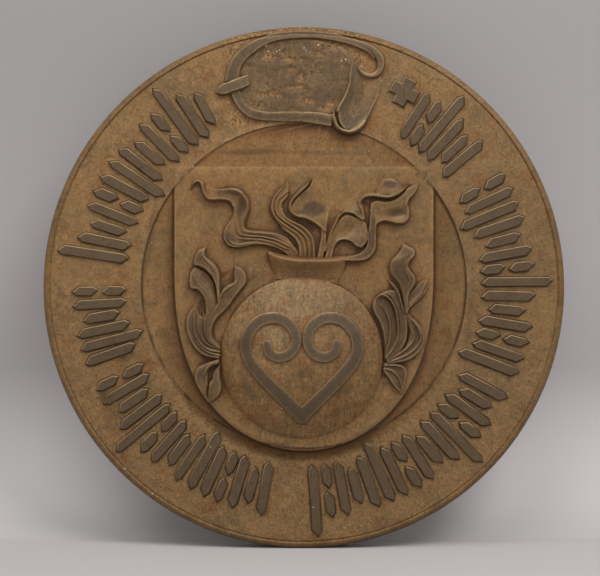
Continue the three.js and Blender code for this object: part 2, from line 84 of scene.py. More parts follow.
# Shield, whose face leans out of the ring field towards its foot
SHIELD_HALF_WIDTH = 123.6
SHIELD_TOP = 115.0
SHIELD_SHOULDER = 20.0
SHIELD_FOOT = -155.4
SHIELD_ROUND = 2.5
SHIELD_TOP_FACE = 24.8
SHIELD_LEAN = 0.034
SHIELD_WALL = 1.6
SHIELD_WALL_IN = 0.2
SHIELD_SOFT_EDGE = 5.0
SHIELD_EDGE_DROP = 2.4
SHIELD_EDGE_CURVE = 2.2
SHIELD_EDGE_AT_TOP = 0.25
SHIELD_EDGE_DOWN = (20.0, 160.0)

# Ball with its flared cup
BALL_X = -2.0
BALL_Y = -68.0
BALL_RADIUS = 78.0
BALL_RISE = 19.0
BALL_FULLNESS = 0.7
BALL_BLEND = 0.6
CUP_X = 3.4
CUP_Y = 18.0
CUP_MOUTH = 38.0
CUP_NECK = 30.0
CUP_RISE = 14.0
CUP_LIP_UP = 6.3
CUP_NECK_DOWN = 9.0
CUP_NECK_TILT = 0.07
CUP_LIP_MIDDLE = 6.6
CUP_LIP_REACH = 45.0
CUP_LIP_CURL = 8.0
CUP_LIP_BACK = (1.2, 3.2)
CUP_FOOT_SHARE = 0.22
CUP_FLARE_CURVE = 1.3
CUP_SIDE_CURVE = 0.7
CUP_BOW_CURVE = 2.6
CUP_BEHIND_LIP = 0.45
CUP_FALL = 2.5
CUP_FALL_FROM = 3.0
CUP_END = 9.0
CUP_START = -0.2
CUP_OFF = -5.0
CUP_BLEND = 0.5

# Pair of volutes on the ball: they start at the foot, swing out and curl in round an eye
VOLUTE_WIDTH = 14.5
VOLUTE_END_WIDTH = 10.0
VOLUTE_RISE = 2.2
VOLUTE_X = 24.0
VOLUTE_Y = -52.0
VOLUTE_RADIUS = 30.0
VOLUTE_EYE = 9.0
VOLUTE_START_ANGLE = -25.0
VOLUTE_SWEEP = 370.0
VOLUTE_FOOT_Y = -122.0
VOLUTE_POINTS = 9
VOLUTE_SIDE = 7.0
VOLUTE_BLEND = 0.2

# Hammered ground of the cartouche over the shield
CARTOUCHE_X = -8.0
CARTOUCHE_Y = 200.0
CARTOUCHE_HALF_WIDTH = 60.0
CARTOUCHE_HALF_HEIGHT = 39.0
DENTS = 150
DENT_SEED = 7
DENT_SPREAD = 0.9
DENT_SIZE = (2.2, 5.0)
DENT_DEPTH = (0.3, 0.75)
DENT_STRETCH = (1.2, 2.2)
DENT_STEEPNESS = 1.6
ROUND_DENT_X = -2.0
ROUND_DENT_Y = 202.0
ROUND_DENT_RADIUS = 5.0
ROUND_DENT_DEPTH = 1.2
ROUND_DENT_LIP = 0.9
ROUND_DENT_LIP_OUT = 1.35
ROUND_DENT_LIP_STEEPNESS = 5.0
BEATEN_RISE = 1.6
BEATEN_EDGE = 0.3

# Strokes of the inscription band, laid in word groups around the ring
STROKE_WIDTH = 9.0
STROKE_RISE = 2.6
STROKE_CHAMFER = 0.7
STROKE_SKIRT = 1.2
STROKE_SKIRT_RISE = 0.16
STROKE_FOOT = 0.15
STROKE_FOOT_RISE = 0.2
STROKE_BATTER = 0.1
STROKE_PITCH = 13.2
STROKE_MIDDLE = 195.0
STROKE_INNER = 173.0
STROKE_OUTER = 218.0
STROKE_ASCENDER = 235.0
STROKE_DESCENDER = 163.0
STROKE_GAP = 5.0
STROKE_SHORTER = 8.0
STROKE_SLANT = 0.35
STROKE_TIP = 0.3
STROKE_CORNER = 0.4
STROKE_SCATTER = 0.05
STROKE_BLANK = 30.0
STROKE_TILT = 1.6
STROKE_SEED = 5
SINK = 2.0

# Small cross that opens the inscription
CROSS_X = 96.0
CROSS_Y = 187.0
CROSS_REACH = 13.5
CROSS_ARM = 6.0
CROSS_TURN = -27.0

# Carving raster: spacing, corners and the level that stands for bare ground
CARVING_STEP = 0.25
CARVING_LEFT = -125.0
CARVING_RIGHT = 125.0
CARVING_FOOT = -125.0
CARVING_HEAD = 246.0
NO_LIFT = -2.0
RING_CARVING_FROM = SHIELD_TOP + 10

# Carved leaves, folds and hollows: the length that thins towards the tip and the share left there,
# the width from which a leaf is dished in full, and how softly one form meets the next
LOFT_SPACING = CARVING_STEP * 0.7
LOFT_SHARE = 0.15
CURVE_STEPS = 24
TIP_LENGTH = 0.2
LEAF_TIP = 0.4
LEAF_BLEND = 0.7
FULL_WIDTH = 8.0
NARROW_WIDTH = 3.0
NARROWEST = 0.3
CLIFF_REACH = 2.0
CLIFF_FROM = 0.15
COVE_CURVE = 0.75
EDGE_SAMPLES = 60
FOLD_TIP = 0.3
FOLD_TOP = 0.6
FOLD_CROWN = 0.10
FOLD_BLEND = 0.6
HOLLOW_END = 0.4
HOLLOW_FLOOR = 0.8

# Camera: the width of the view at the plaque's face, and what its middle looks at
LENS = 85.0
SENSOR = 36.0
VIEW_WIDTH = 574.0
VIEW_X = -3.7
VIEW_UP = -0.5

# Light and paper, in metres. A light has a name, place, size, power and colour.
SKY_COLOR = (0.97, 0.955, 0.955, 1.0)
SKY_STRENGTH = 0.48
LIGHTS = [
    ("left_light", (-0.65, -1.25, 2.0), 1.8, 22.5, (1.0, 0.97, 0.93)),
    ("right_light", (1.1, -1.4, 1.75), 1.1, 27.5, (1.0, 0.97, 0.94)),
    ("front_fill", (0.3, -2.4, 0.4), 1.6, 8.0, (0.95, 0.97, 1.0)),
]
# Paper: its foot is painted paler against the plaque's shadow, its wall darker as painted shade
PAPER = (0.53, 0.516, 0.518, 1.0)
FOOT_PAPER = (0.585, 0.570, 0.572, 1.0)
WALL_PAPER = (0.47, 0.454, 0.456, 1.0)
HIGH_PAPER = (0.385, 0.373, 0.376, 1.0)
PAPER_ROUGHNESS = 0.9
FOOT_PAPER_UP = (-0.25, -0.22)
WALL_PAPER_UP = (-0.21, -0.06)
HIGH_PAPER_UP = (0.0, 0.3)
FLOOR_REACH = 4.0
LEAN = 13.0
FOOT_BACK = 0.015
FOOT_TURN = 0.10
WALL_TURN = 0.135
WALL_HEIGHT = 0.9
PAPER_GAP = 0.0005

# Mask raster: spacing, and the two neighbourhoods that hollows and crests are told by
MASK_STEP = 0.5
MASK_FINE = 1.0
MASK_BROAD = 5.0
MASK_PASSES = 3

# Depth below a neighbourhood, or height above it, at which a mask is full
HOLLOW_FINE = 0.9
HOLLOW_BROAD = 3.0
HOLLOW_SHARE = 0.6
CREST_HEIGHT = 0.8

# Paint colours, in the usual 0 to 255 steps. The crown ochre is a painted highlight, the worn
# colour also paints highlights, and the soot also paints shade
OCHRE = (142, 107, 62)
OLIVE = (108, 88, 55)
CROWN_HIGHLIGHT_OCHRE = (156, 132, 100)
SAND = (156, 124, 82)
GREY_OCHRE = (118, 98, 72)
UMBER = (93, 74, 51)
FLAME_UMBER = (90, 66, 41)
RUST = (122, 76, 33)
WORN_AND_HIGHLIGHT = (190, 158, 116)
SOOT_AND_SHADE = (50, 33, 13)
PLASTER = (205, 196, 180)

# Brushwork and grain of the paint
FINE_STREAK = {"Width": 1.7, "Length": 16.0}
BROAD_STREAK = {"Width": 5.0, "Length": 40.0}
FINE_SHARE = 0.55
BROAD_SHARE = 0.45
STREAK_DEPTH = 0.15
SCRATCH_COVER = 0.6
SCRATCH_WANDER = 22.0
SCRATCH_STRETCH = 0.03
SCRATCH_WIDTH = 0.03
SCRATCHED_EDGE = 0.08
BRUSHED = 0.35
BRUSHED_ON_BALL = 1.6

# Noises, as scale to the millimetre, detail, roughness and distortion
GRAIN_NOISE = (0.42, 4.0, 0.75)
STREAK_NOISE = (1.0, 4.0, 0.62, 0.3)
PATCH_NOISE = (0.028, 5.0, 0.6, 0.5)
SPOT_NOISE = (0.16, 4.0, 0.65, 0.3)
RUST_NOISE = (0.05, 4.0, 0.6, 0.4)
SMEAR_NOISE = (0.22, 4.0, 0.65)
SMUDGE_NOISE = (0.075, 4.0, 0.72, 0.6)
PIT_NOISE = (0.5, 3.0, 0.6)
PITTED_NOISE = (0.03, 3.0, 0.6)
WANDER_NOISE = (0.09, 2.0)
SCRATCH_NOISE = (1.8, 2.0)
SCRATCHED_NOISE = (0.055, 3.0, 0.6)
CHIP_NOISE = (1.1, 2.0)
BACK_NOISE = (0.02, 5.0, 0.6)

# Ground coat: shares of what makes it patchy, and the values its colours come in between
PATCH_SHARE = 0.5
SPOT_SHARE = 0.4
STREAK_SHARE = 0.1
OCHRE_EDGE = (0.36, 0.56)
OCHRE_LEAST = 0.25
RUST_EDGE = (0.5, 0.7)
SAND_EDGE = (0.54, 0.72)
SAND_MOST = 0.4
GRAIN_CONTRAST = 0.9

# Coats over it: rust in hollows, torn dark wash, rubbed edges and painted highlights, soot and
# painted shade, and roughness
HOLLOW_RUST = 0.8
HOLLOW_RUST_EDGE = (0.35, 0.6)
HOLLOW_RUST_LEAST = 0.6
WASH_LEVEL = 0.46
WASH_TORN = 2.4
WASH_EDGE = (0.15, 0.8)
WASH_START = 0.1
WASH_SHADE = 0.62
WASH_STREAKS = 0.42
WASH_GRAIN = 0.34
# Crests: worn paint that also paints sheen; edges facing up and left: a painted highlight
CREST_BREAK_EDGE = (0.35, 0.6)
CREST_BREAK_LEAST = 0.5
WORN_CREST_AND_HIGHLIGHT = 0.36
HIGHLIGHT_FACING = (0.25, 0.65)
EDGE_HIGHLIGHT_STRENGTH = 0.85
# Soot in hollows that also paints their shade, and painted shade under edges facing down
DEEP_EDGE = (0.5, 1.0)
DEEP_SOOT_AND_SHADE = 0.62
CAUGHT_SOOT_AND_SHADE = 0.675
UNDER_EDGE = (-0.8, -0.3)
UNDER_PAINTED_SHADE = 0.4
ROUGH_EDGE = (0.35, 0.65)
ROUGHNESS = (0.48, 0.66)
WASH_SMOOTHER = 0.08

# Strength of the grain: on the ring's foot and head and the heights they hold at, and elsewhere
RING_GRAIN = (1.6, 0.8)
RING_GRAIN_UP = (-240.0, 40.0)
BALL_GRAIN = 1.4
TOP_GRAIN = 1.1
CARTOUCHE_GRAIN = 4.8
PLAIN_GRAIN = 0.5

# Grime: the values that each kind comes in between, and its strength; the seams' also paints shade
SMEAR_EDGE = (0.35, 1.05)
SEAM_EDGE = (0.35, 0.6)
SEAM_GRIME_AND_SHADE = (0.4, 0.95)
SCRATCH_GRIME = (0.35, 0.5)
SMUDGE_EDGE = (0.56, 0.74)
SMUDGE_GRIME = 0.45
PIT_EDGE = (0.60, 0.66)
PIT_GRIME = 0.6
PITTED_EDGE = (0.48, 0.62)
PITTED_HOLLOW = (0.03, 0.2)
GRIME_EDGE = (0.3, 0.6)
GRIME_LEAST = 0.75

# Painted highlight on the ball's crown, up and to its left, and the distances it fades over
CROWN_X = BALL_X - 18
CROWN_Y = BALL_Y + 40
CROWN_FADE = (15.0, 80.0)
CROWN_HIGHLIGHT = 0.55
BALL_EDGE = (BALL_RADIUS + 6, BALL_RADIUS + 9)
BALL_PAINTED_SHADE_FADE = (30.0, 100.0)

# Rust and grey in the ground coat
RING_GREY = 0.2
RUSTY = (0.4, 0.6)
CARTOUCHE_RUST = 0.45
CARTOUCHE_EDGE = 12.0

# Share of the colour left by painted shade away from the top left, on the rim and low on the ball,
# and by a darker tone on the faces inside the ring
PAINTED_SHADE_SIDE = 0.84
PAINTED_SHADE_RIM = 0.86
PAINTED_SHADE_BALL = 0.84
DULL_INSIDE = 0.925
PAINTED_SHADE_RIGHT = 0.45
PAINTED_SHADE_DOWN = 0.9
PAINTED_SHADE_FADE = (-190.0, 60.0)

# Pale plaster: ragged chips, and the back where the paint is thin
CHIP_EDGE = (0.3, 0.9)
CHIP_RAGGED_EDGE = (0.38, 0.52)
BACK_EDGE = (-3.0, -0.4)
BACK_BARE_EDGE = (0.42, 0.6)
BACK_BARE = 0.5

# Surface of the paint
SPECULAR = 0.3
BUMP_STRENGTH = 0.6
BUMP_DEPTH = 1.0
STREAK_RELIEF = 0.5
GRAIN_RELIEF = 0.5
SCRATCH_RELIEF = 0.25
CHIP_RELIEF = 0.6
# Way that painted highlights face, and that painted shade under edges faces away from
UP_LEFT = (-0.35, 0.0, 0.94)

# Mesh sizes: cells along the disc's grid, and the triangles kept of it
GRID_CELLS = 1080
KEPT_TRIANGLES = 180000
SHARP_ANGLE = 48.0

# Leaves of flame from the cup, each between its two edges, tip to root
CUP_LEAVES = [
    {"rise": ((0, 3.5, 6.5, 7, 7, 7, 7, 6.5, 6.5, 6.5, 5, 3),
              (0, 4, 6, 5, 4, 4.5, 6, 7, 6.5, 6, 5, 4, 3)),
     "dish": (0, 1, 2.6, 3, 2.4, 1.5, 1, 0.5),
     "slope": ((4.5, 4.5, 4, 3, 3, 3.5, 3.5, 3), (2, 2, 1.6, 1.4, 3, 3.5, 3, 2.2, 2)), "edges": ([
        (-93.5, 96.5), (-82, 93.5), (-71.5, 93), (-64, 91), (-58.5, 87.5), (-54.5, 82), (-54.5, 75),
        (-57, 66.5), (-59, 59), (-57.5, 54), (-51.5, 51.5), (-40, 50.5), (-27.5, 49), (-17, 44.5),
        (-9.5, 38), (-3.5, 29),
    ], [
        (-96.5, 90.5), (-91.5, 86.5), (-81, 84.5), (-71.5, 83), (-67, 79.5), (-66.5, 73),
        (-68.5, 66.5), (-72, 61), (-75.5, 54), (-75.5, 46.5), (-71.5, 40.5), (-64, 38.5),
        (-55.5, 39.5), (-44, 41.5), (-30.5, 39.5), (-20, 35), (-11.5, 28),
    ])},
    {"rise": ((2, 4, 5, 5, 4.5, 4.5), (2, 4, 4.5, 4, 4, 4)),
     "dish": 0.4, "slope": (1.6, 2.5), "edges": ([
        (-16, 103), (-22, 92), (-29, 83), (-30, 73), (-24, 61.5), (-12.5, 52), (-4.5, 42.5),
        (-3.5, 28),
    ], [
        (-14.5, 97), (-16, 87.5), (-21.5, 80), (-20, 71.5), (-12.5, 63), (-1, 56), (7.5, 46.5),
        (9.5, 28),
    ])},
    {"rise": ((3.5, 4.6, 5, 6, 6.5, 6.5, 6), (-1.4, -1.4, -1.2, 1.5, 4.6, 5, 5, 5)),
     "dish": (0, 0.2, 1.8, 2.6, 1.4, 0.4), "slope": (1.5, (2, 2, 2, 2, 1.4, 1.4)), "edges": ([
        (9, 105), (5, 96), (-3, 88.5), (-9.5, 81), (-11.5, 75), (-9, 70), (0, 67), (8.5, 63),
        (16, 57.5), (17, 49.5), (15.5, 39.5), (13, 27.5),
    ], [
        (12.5, 105), (21, 99), (28, 91.5), (30, 83.5), (26.5, 76), (24.5, 69.5), (22.5, 62.5),
        (21, 55), (20.5, 47.5), (19.5, 38.5), (18, 27.5),
    ])},
    {"rise": ((-1, 4, 5.5, 6), (-1.4, -1.4, -1, 3, 6)), "dish": 0, "slope": (1.3, 2), "edges": ([
        (32.5, 73), (38.5, 72), (43, 72), (48, 70), (52.5, 66.5), (56.5, 64.5),
    ], [
        (30, 83.5), (39.5, 88.5), (48, 88), (54.5, 81), (56.5, 73), (57, 65),
    ])},
    {"rise": ((6, 5.5, 5, 3.6, 3.6, 4, 6, 6.5, 6.5, 6), (6, 6.4, 6.8, 6.4, 5, 5)),
     "dish": (0, 1.2, 2.4, 1.6, 0.6),
     "slope": ((1.6, 1.5, 1.5, 1.2, 1.2, 1.6, 2.2, 2), (1.8, 1.8, 1.6, 1.4)), "edges": ([
        (55, 38), (59.5, 43), (60.5, 53), (58, 61), (50, 66), (41, 68.5), (35, 65), (30.5, 58),
        (27, 49.5), (24, 39.5), (20.5, 28),
    ], [
        (55, 37.5), (50.5, 39.5), (45.5, 44), (38.5, 46), (33, 44.5), (29.5, 40), (27.5, 34.5),
        (26, 27.5),
    ])},
    {"rise": ((3, 5, 5, 5, 5, 5, 4.8), (1.5, 4.5, 6, 6.4, 6.2, 5.8, 5.5)),
     "dish": (0, -0.4, 1.0, 1.6, 0.8, 0.4), "slope": (1.2, (6, 5, 4, 2.4, 1.8, 1.6)), "edges": ([
        (108, 99), (99.5, 95), (95, 89.5), (90, 85), (83.5, 82), (76.5, 81.5), (70, 82.5),
        (64.5, 80), (63, 73),
    ], [
        (110, 100), (108, 93.5), (104, 88.5), (99.5, 83.5), (98.5, 78), (100, 72), (99.5, 66.5),
        (95.5, 62), (88, 61.5), (80.5, 63), (74.5, 64), (71, 62.5), (67, 58),
    ])},
    {"rise": ((1, 2.4, 3.2, 2.6, 1), (5, 6, 6, 6, 5)), "dish": 0.5, "slope": (3.5, 1), "edges": ([
        (95, 95), (89, 100.5), (83.5, 103), (76.5, 102), (69, 95),
    ], [
        (93, 91.5), (89, 89), (83.5, 87), (76.5, 86.5), (69, 87),
    ])},
    {"rise": ((4.5, 5, 5.5, 5.5, 5.5, 5), (6.5, 6.5, 6.5, 6.5, 6.5, 6)),
     "dish": 0.6, "slope": (1.4, 1.8), "edges": ([
        (64, 76), (63, 67.5), (62.5, 59), (61, 50), (60.5, 42.5), (58, 36), (52, 31.5), (40.5, 29),
    ], [
        (70, 65), (68.5, 56), (68.5, 45.5), (68, 38), (65, 32), (60, 27.5), (52, 26), (38.5, 26),
    ])},
]

# Leaves of flame beside the ball: left, then right
SIDE_LEAVES = [
    {"rise": ((3, 6, 7, 7, 6.6, 6.4, 6.4, 6.6, 6.6, 6), (2.5, 2.2, 2.4, 3, 4.4, 6, 6.4, 6.6, 6)),
     "dish": (0, -1.2, -1.6, -1.2, -0.6), "slope": (2.2, 1.6), "edges": ([
        (-103.5, 19.5), (-107, 15), (-108, 9), (-108, 3.5), (-106, -1), (-101, -1.5), (-97, -5),
        (-94, -10), (-92.5, -16.5), (-92.5, -24.5), (-94, -33), (-93, -44.5), (-89, -52),
        (-80.5, -58.5),
    ], [
        (-103, 19.5), (-98.5, 17), (-92.5, 13), (-88.5, 7), (-85.5, 0.5), (-83.5, -7), (-82.5, -15),
        (-82.5, -22.5), (-85.5, -29), (-88.5, -36), (-89, -43.5), (-86.5, -50), (-80.5, -56),
    ])},
    {"rise": ((3, 5.4, 5.2, 5.4, 7.4, 8, 8, 8, 7.6, 7), (3, 7, 8, 8, 7.6, 7, 7)),
     "dish": -0.4, "slope": (1.2, 1.6), "edges": ([
        (-93, 38.5), (-99.5, 35.5), (-102.5, 31), (-104, 26.5), (-104, 21.5), (-99.5, 20.5),
        (-94.5, 18), (-90.5, 14.5), (-86.5, 9.5), (-84, 3), (-82.5, -4.5), (-81.5, -14),
    ], [
        (-93, 38.5), (-94.5, 35), (-94.5, 30.5), (-91.5, 27), (-87, 23.5), (-83.5, 19), (-81, 12.5),
        (-80.5, 4.5), (-80, -4.5), (-80, -15),
    ])},
    {"rise": ((4, 6, 6.4, 6.6, 6.6, 6.4, 6), (4, 6.4, 7, 7, 6.6, 6)),
     "dish": -0.8, "slope": (1.4, 2.2), "edges": ([
        (-66, 20.5), (-66, 12), (-66, 5.5), (-71.5, 2.5), (-77, -2.5), (-79.5, -9), (-82, -16.5),
        (-86, -25.5), (-90.5, -34), (-92.5, -41.5), (-91, -50), (-80.5, -58),
    ], [
        (-65, 20.5), (-59, 17.5), (-56, 12), (-56, 4.5), (-60.5, -2), (-66, -9), (-71, -16.5),
        (-77, -23.5), (-82.5, -29), (-86.5, -36), (-88, -43.5), (-86, -50), (-80.5, -55.5),
    ])},
    {"rise": ((3, 5.6, 6, 6, 6, 6, 6), (3, 3, 4.6, 5.2, 4.6, 4, 4.4)),
     "dish": 0.4, "slope": (2.2, 1.5), "edges": ([
        (-103.5, -17), (-107.5, -22.5), (-110.5, -29), (-111, -37), (-109.5, -44.5), (-106, -52),
        (-101, -59), (-94, -64), (-80.5, -67),
    ], [
        (-103, -17.5), (-101, -24), (-98, -27.5), (-94.5, -29.5), (-93, -36), (-92, -44.5),
        (-89, -51.5), (-80.5, -56),
    ])},
    {"rise": ((3, 6, 6.4, 6.4, 6, 5.6), (3, 5, 5, 5, 5.6, 6)),
     "dish": -1.0, "slope": (1.8, 1.4), "edges": ([
        (-91, -108.5), (-95.5, -102), (-99.5, -95), (-102.5, -88.5), (-103, -82.5), (-100.5, -77),
        (-94, -73.5), (-80.5, -68.5),
    ], [
        (-91, -108.5), (-91.5, -100), (-91.5, -92.5), (-92, -85.5), (-91.5, -79.5), (-88, -75),
        (-80.5, -71.5),
    ])},
    {"rise": ((3, 5.6, 6, 4.6, 4), (3, 6, 6.6, 6, 5.4)),
     "dish": -1.0, "slope": (1.4, 1.6), "edges": ([
        (-90.5, -109), (-90.5, -101), (-89, -94), (-86.5, -88.5), (-85.5, -82), (-81, -74.5),
    ], [
        (-90, -109.5), (-85, -106.5), (-80.5, -101), (-79, -93.5), (-80.5, -85.5), (-80.5, -79),
        (-80.5, -73),
    ])},
    {"rise": ((2.5, 3.4, 4, 4.6, 5, 5, 5.6, 6.4, 6.6),
              (2.5, 5, 7.6, 7.6, 6.8, 6, 6.6, 7.4, 7, 6.8)),
     "dish": -1.0, "slope": (3, 1.5), "edges": ([
        (94, 41.5), (92.5, 36), (88, 30), (84, 25.5), (82.5, 19.5), (83.5, 13.5), (87.5, 8),
        (91.5, 2.5), (93.5, -4.5), (95, -15), (96, -24.5),
    ], [
        (94.5, 42), (99.5, 39), (104.5, 35.5), (104.5, 30), (101, 26), (98.5, 21), (100, 16.5),
        (104.5, 11), (105.5, 5.5), (103, -0.5), (99.5, -6), (98.5, -15), (98, -24.5),
    ])},
    {"rise": ((2.5, 3.6, 4, 4.6), (2.5, 6.6, 7, 6.6)), "dish": 0.6, "slope": (2.4, 1.3), "edges": ([
        (117, 8), (112, 5), (106.5, -1), (101, -7), (97.5, -14), (96, -21.5),
    ], [
        (117.5, 8), (117.5, 1.5), (114.5, -5.5), (109, -11), (103.5, -16), (99.5, -20), (98, -25.5),
    ])},
    {"rise": ((6.2, 6.4, 6.4, 6, 6, 6), (5, 5, 6, 6.8, 6.4, 6)),
     "dish": 0.4, "slope": (1.6, (5, 4, 1.6, 1.6, 1.6)), "edges": ([
        (74, -5.5), (81.5, -7.5), (86.5, -15), (90, -25.5), (91.5, -38), (90, -50), (84.5, -61),
        (78.5, -69.5),
    ], [
        (74.5, -5), (80.5, -3), (86, -3.5), (91, -10), (95.5, -21.5), (97.5, -36), (96.5, -49.5),
        (91, -60), (80.5, -70.5),
    ])},
    {"rise": ((4, 6, 6, 5.6, 5.4, 5.6), (4, 4.4, 4, 4, 4.4, 5.4)),
     "dish": 0.6, "slope": (1.8, 1.4), "edges": ([
        (73, -6), (68.5, -10), (66, -16), (67, -23), (71, -30), (74.5, -38), (76.5, -46.5),
        (77.5, -56), (77.5, -66.5),
    ], [
        (74, -6.5), (78.5, -11), (83.5, -18.5), (86.5, -28), (88, -38.5), (87, -50), (83.5, -59),
        (78.5, -67.5),
    ])},
    {"rise": ((5, 5, 5, 5.4, 5.8), (5, 6, 7, 7, 6.4)), "dish": 0.8, "slope": (1.6, 2), "edges": ([
        (96, -22.5), (98, -32), (100, -43.5), (97.5, -54), (91, -62), (80.5, -70),
    ], [
        (96.5, -22), (100.5, -27), (106.5, -33), (111.5, -40), (114, -48.5), (112, -56),
        (107, -62.5), (99, -68), (80.5, -72),
    ])},
    {"rise": ((3, 5.4, 6, 6, 5.6), (3, 4.6, 5, 5.4, 5.4, 5.4, 5.4)),
     "dish": 0.6, "slope": (1.6, 1.5), "edges": ([
        (92.5, -101.5), (90, -97.5), (86, -93.5), (81.5, -86.5), (75.5, -79),
    ], [
        (93, -101.5), (95, -94.5), (96.5, -87.5), (97.5, -82), (95.5, -76.5), (88, -73),
        (76.5, -72.5),
    ])},
]

# Bands, strap and flap of the cartouche, each between its two edges
CARTOUCHE_LEAVES = [
    {"rise": ((2.4, 2.6, 2.8, 3, 3, 3, 3, 3, 3.2, 3.4, 2),
              (3.2, 3.6, 3.8, 3.8, 3.6, 3.4, 3.2, 3.4, 3.8, 3.8, 2.4)),
     "dish": -0.3, "slope": (1.6, 0.8), "edges": ([
        (-75.5, 196.5), (-73.5, 206), (-70.5, 214.5), (-66, 221.5), (-58.5, 228.5), (-49.5, 234.5),
        (-40, 238.5), (-27.5, 242.5), (-13.5, 244), (1, 244.5), (15.5, 243.5), (30, 241.5),
        (44, 237.5), (56.5, 234), (66, 230), (73, 224),
    ], [
        (-62, 198.5), (-61.5, 206), (-59.5, 212), (-54.5, 218.5), (-47.5, 224.5), (-39, 230.5),
        (-28.5, 235), (-15, 237.5), (0, 238.5), (14.5, 238), (28, 236), (41, 233), (52.5, 229),
        (61.5, 224.5), (67, 218.5),
    ])},
    {"rise": ((2.5, 3, 3.4, 4, 4.4, 4.4, 4.4, 4.4, 4.4), (3.2, 3.2, 3, 2.8, 2.6, 2.6, 2.8, 3)),
     "dish": 0, "slope": ((1.2, 1.6, 2, 2), 0.8), "edges": ([
        (-61.5, 189), (-59.5, 182.5), (-56, 176), (-50.5, 171), (-44, 168.5), (-35.5, 167),
        (-23, 167), (-8.5, 167), (6, 166.5), (17.5, 165.5), (27, 164),
    ], [
        (-70, 186.5), (-67.5, 180), (-63.5, 173), (-58, 167), (-50.5, 162), (-42, 160),
        (-30.5, 159), (-15, 158.5), (-2, 158.5), (11.5, 156.5), (26.5, 154),
    ])},
    {"rise": ((2.5, 4, 4.6, 5, 5, 4.6, 3.6, 2), (3, 5, 6, 6, 5.6, 5, 4, 2.4)),
     "dish": -0.6, "slope": (2, 0.9), "edges": ([
        (-84, 188), (-81.5, 191), (-77.5, 193.5), (-71.5, 195.5), (-66, 197.5), (-60, 200),
        (-54.5, 202), (-52, 202),
    ], [
        (-83.5, 185.5), (-79.5, 184.5), (-73.5, 185), (-68, 187), (-62, 189), (-57, 191),
        (-52.5, 193.5), (-51.5, 196.5),
    ])},
    {"rise": ((-1, 1.6, 3, 3.6, 4.2, 4.8, 5.4, 6, 6.6, 7),
              (-1.4, -1.2, 0.3, 0.9, 1.5, 2.4, 3.6, 4.8, 6, 7)),
     "dish": (0.2, 0.6, 1.6, 2.4, 3, 3.2, 2.8, 2),
     "slope": (1, (5, 5, 5, 5, 4.5, 4, 3, 2)), "edges": ([
        (48.5, 219.5), (46.5, 211), (44.5, 201.5), (44, 193), (41.5, 185), (38, 178), (34.5, 172),
        (33, 167), (33.5, 160.5), (35.5, 155), (39.5, 150.5),
    ], [
        (77, 214), (76.5, 205), (74.5, 196.5), (72, 187.5), (69, 179), (65, 171), (61.5, 163.5),
        (57.5, 157.5), (53.5, 153), (48, 150),
    ])},
]

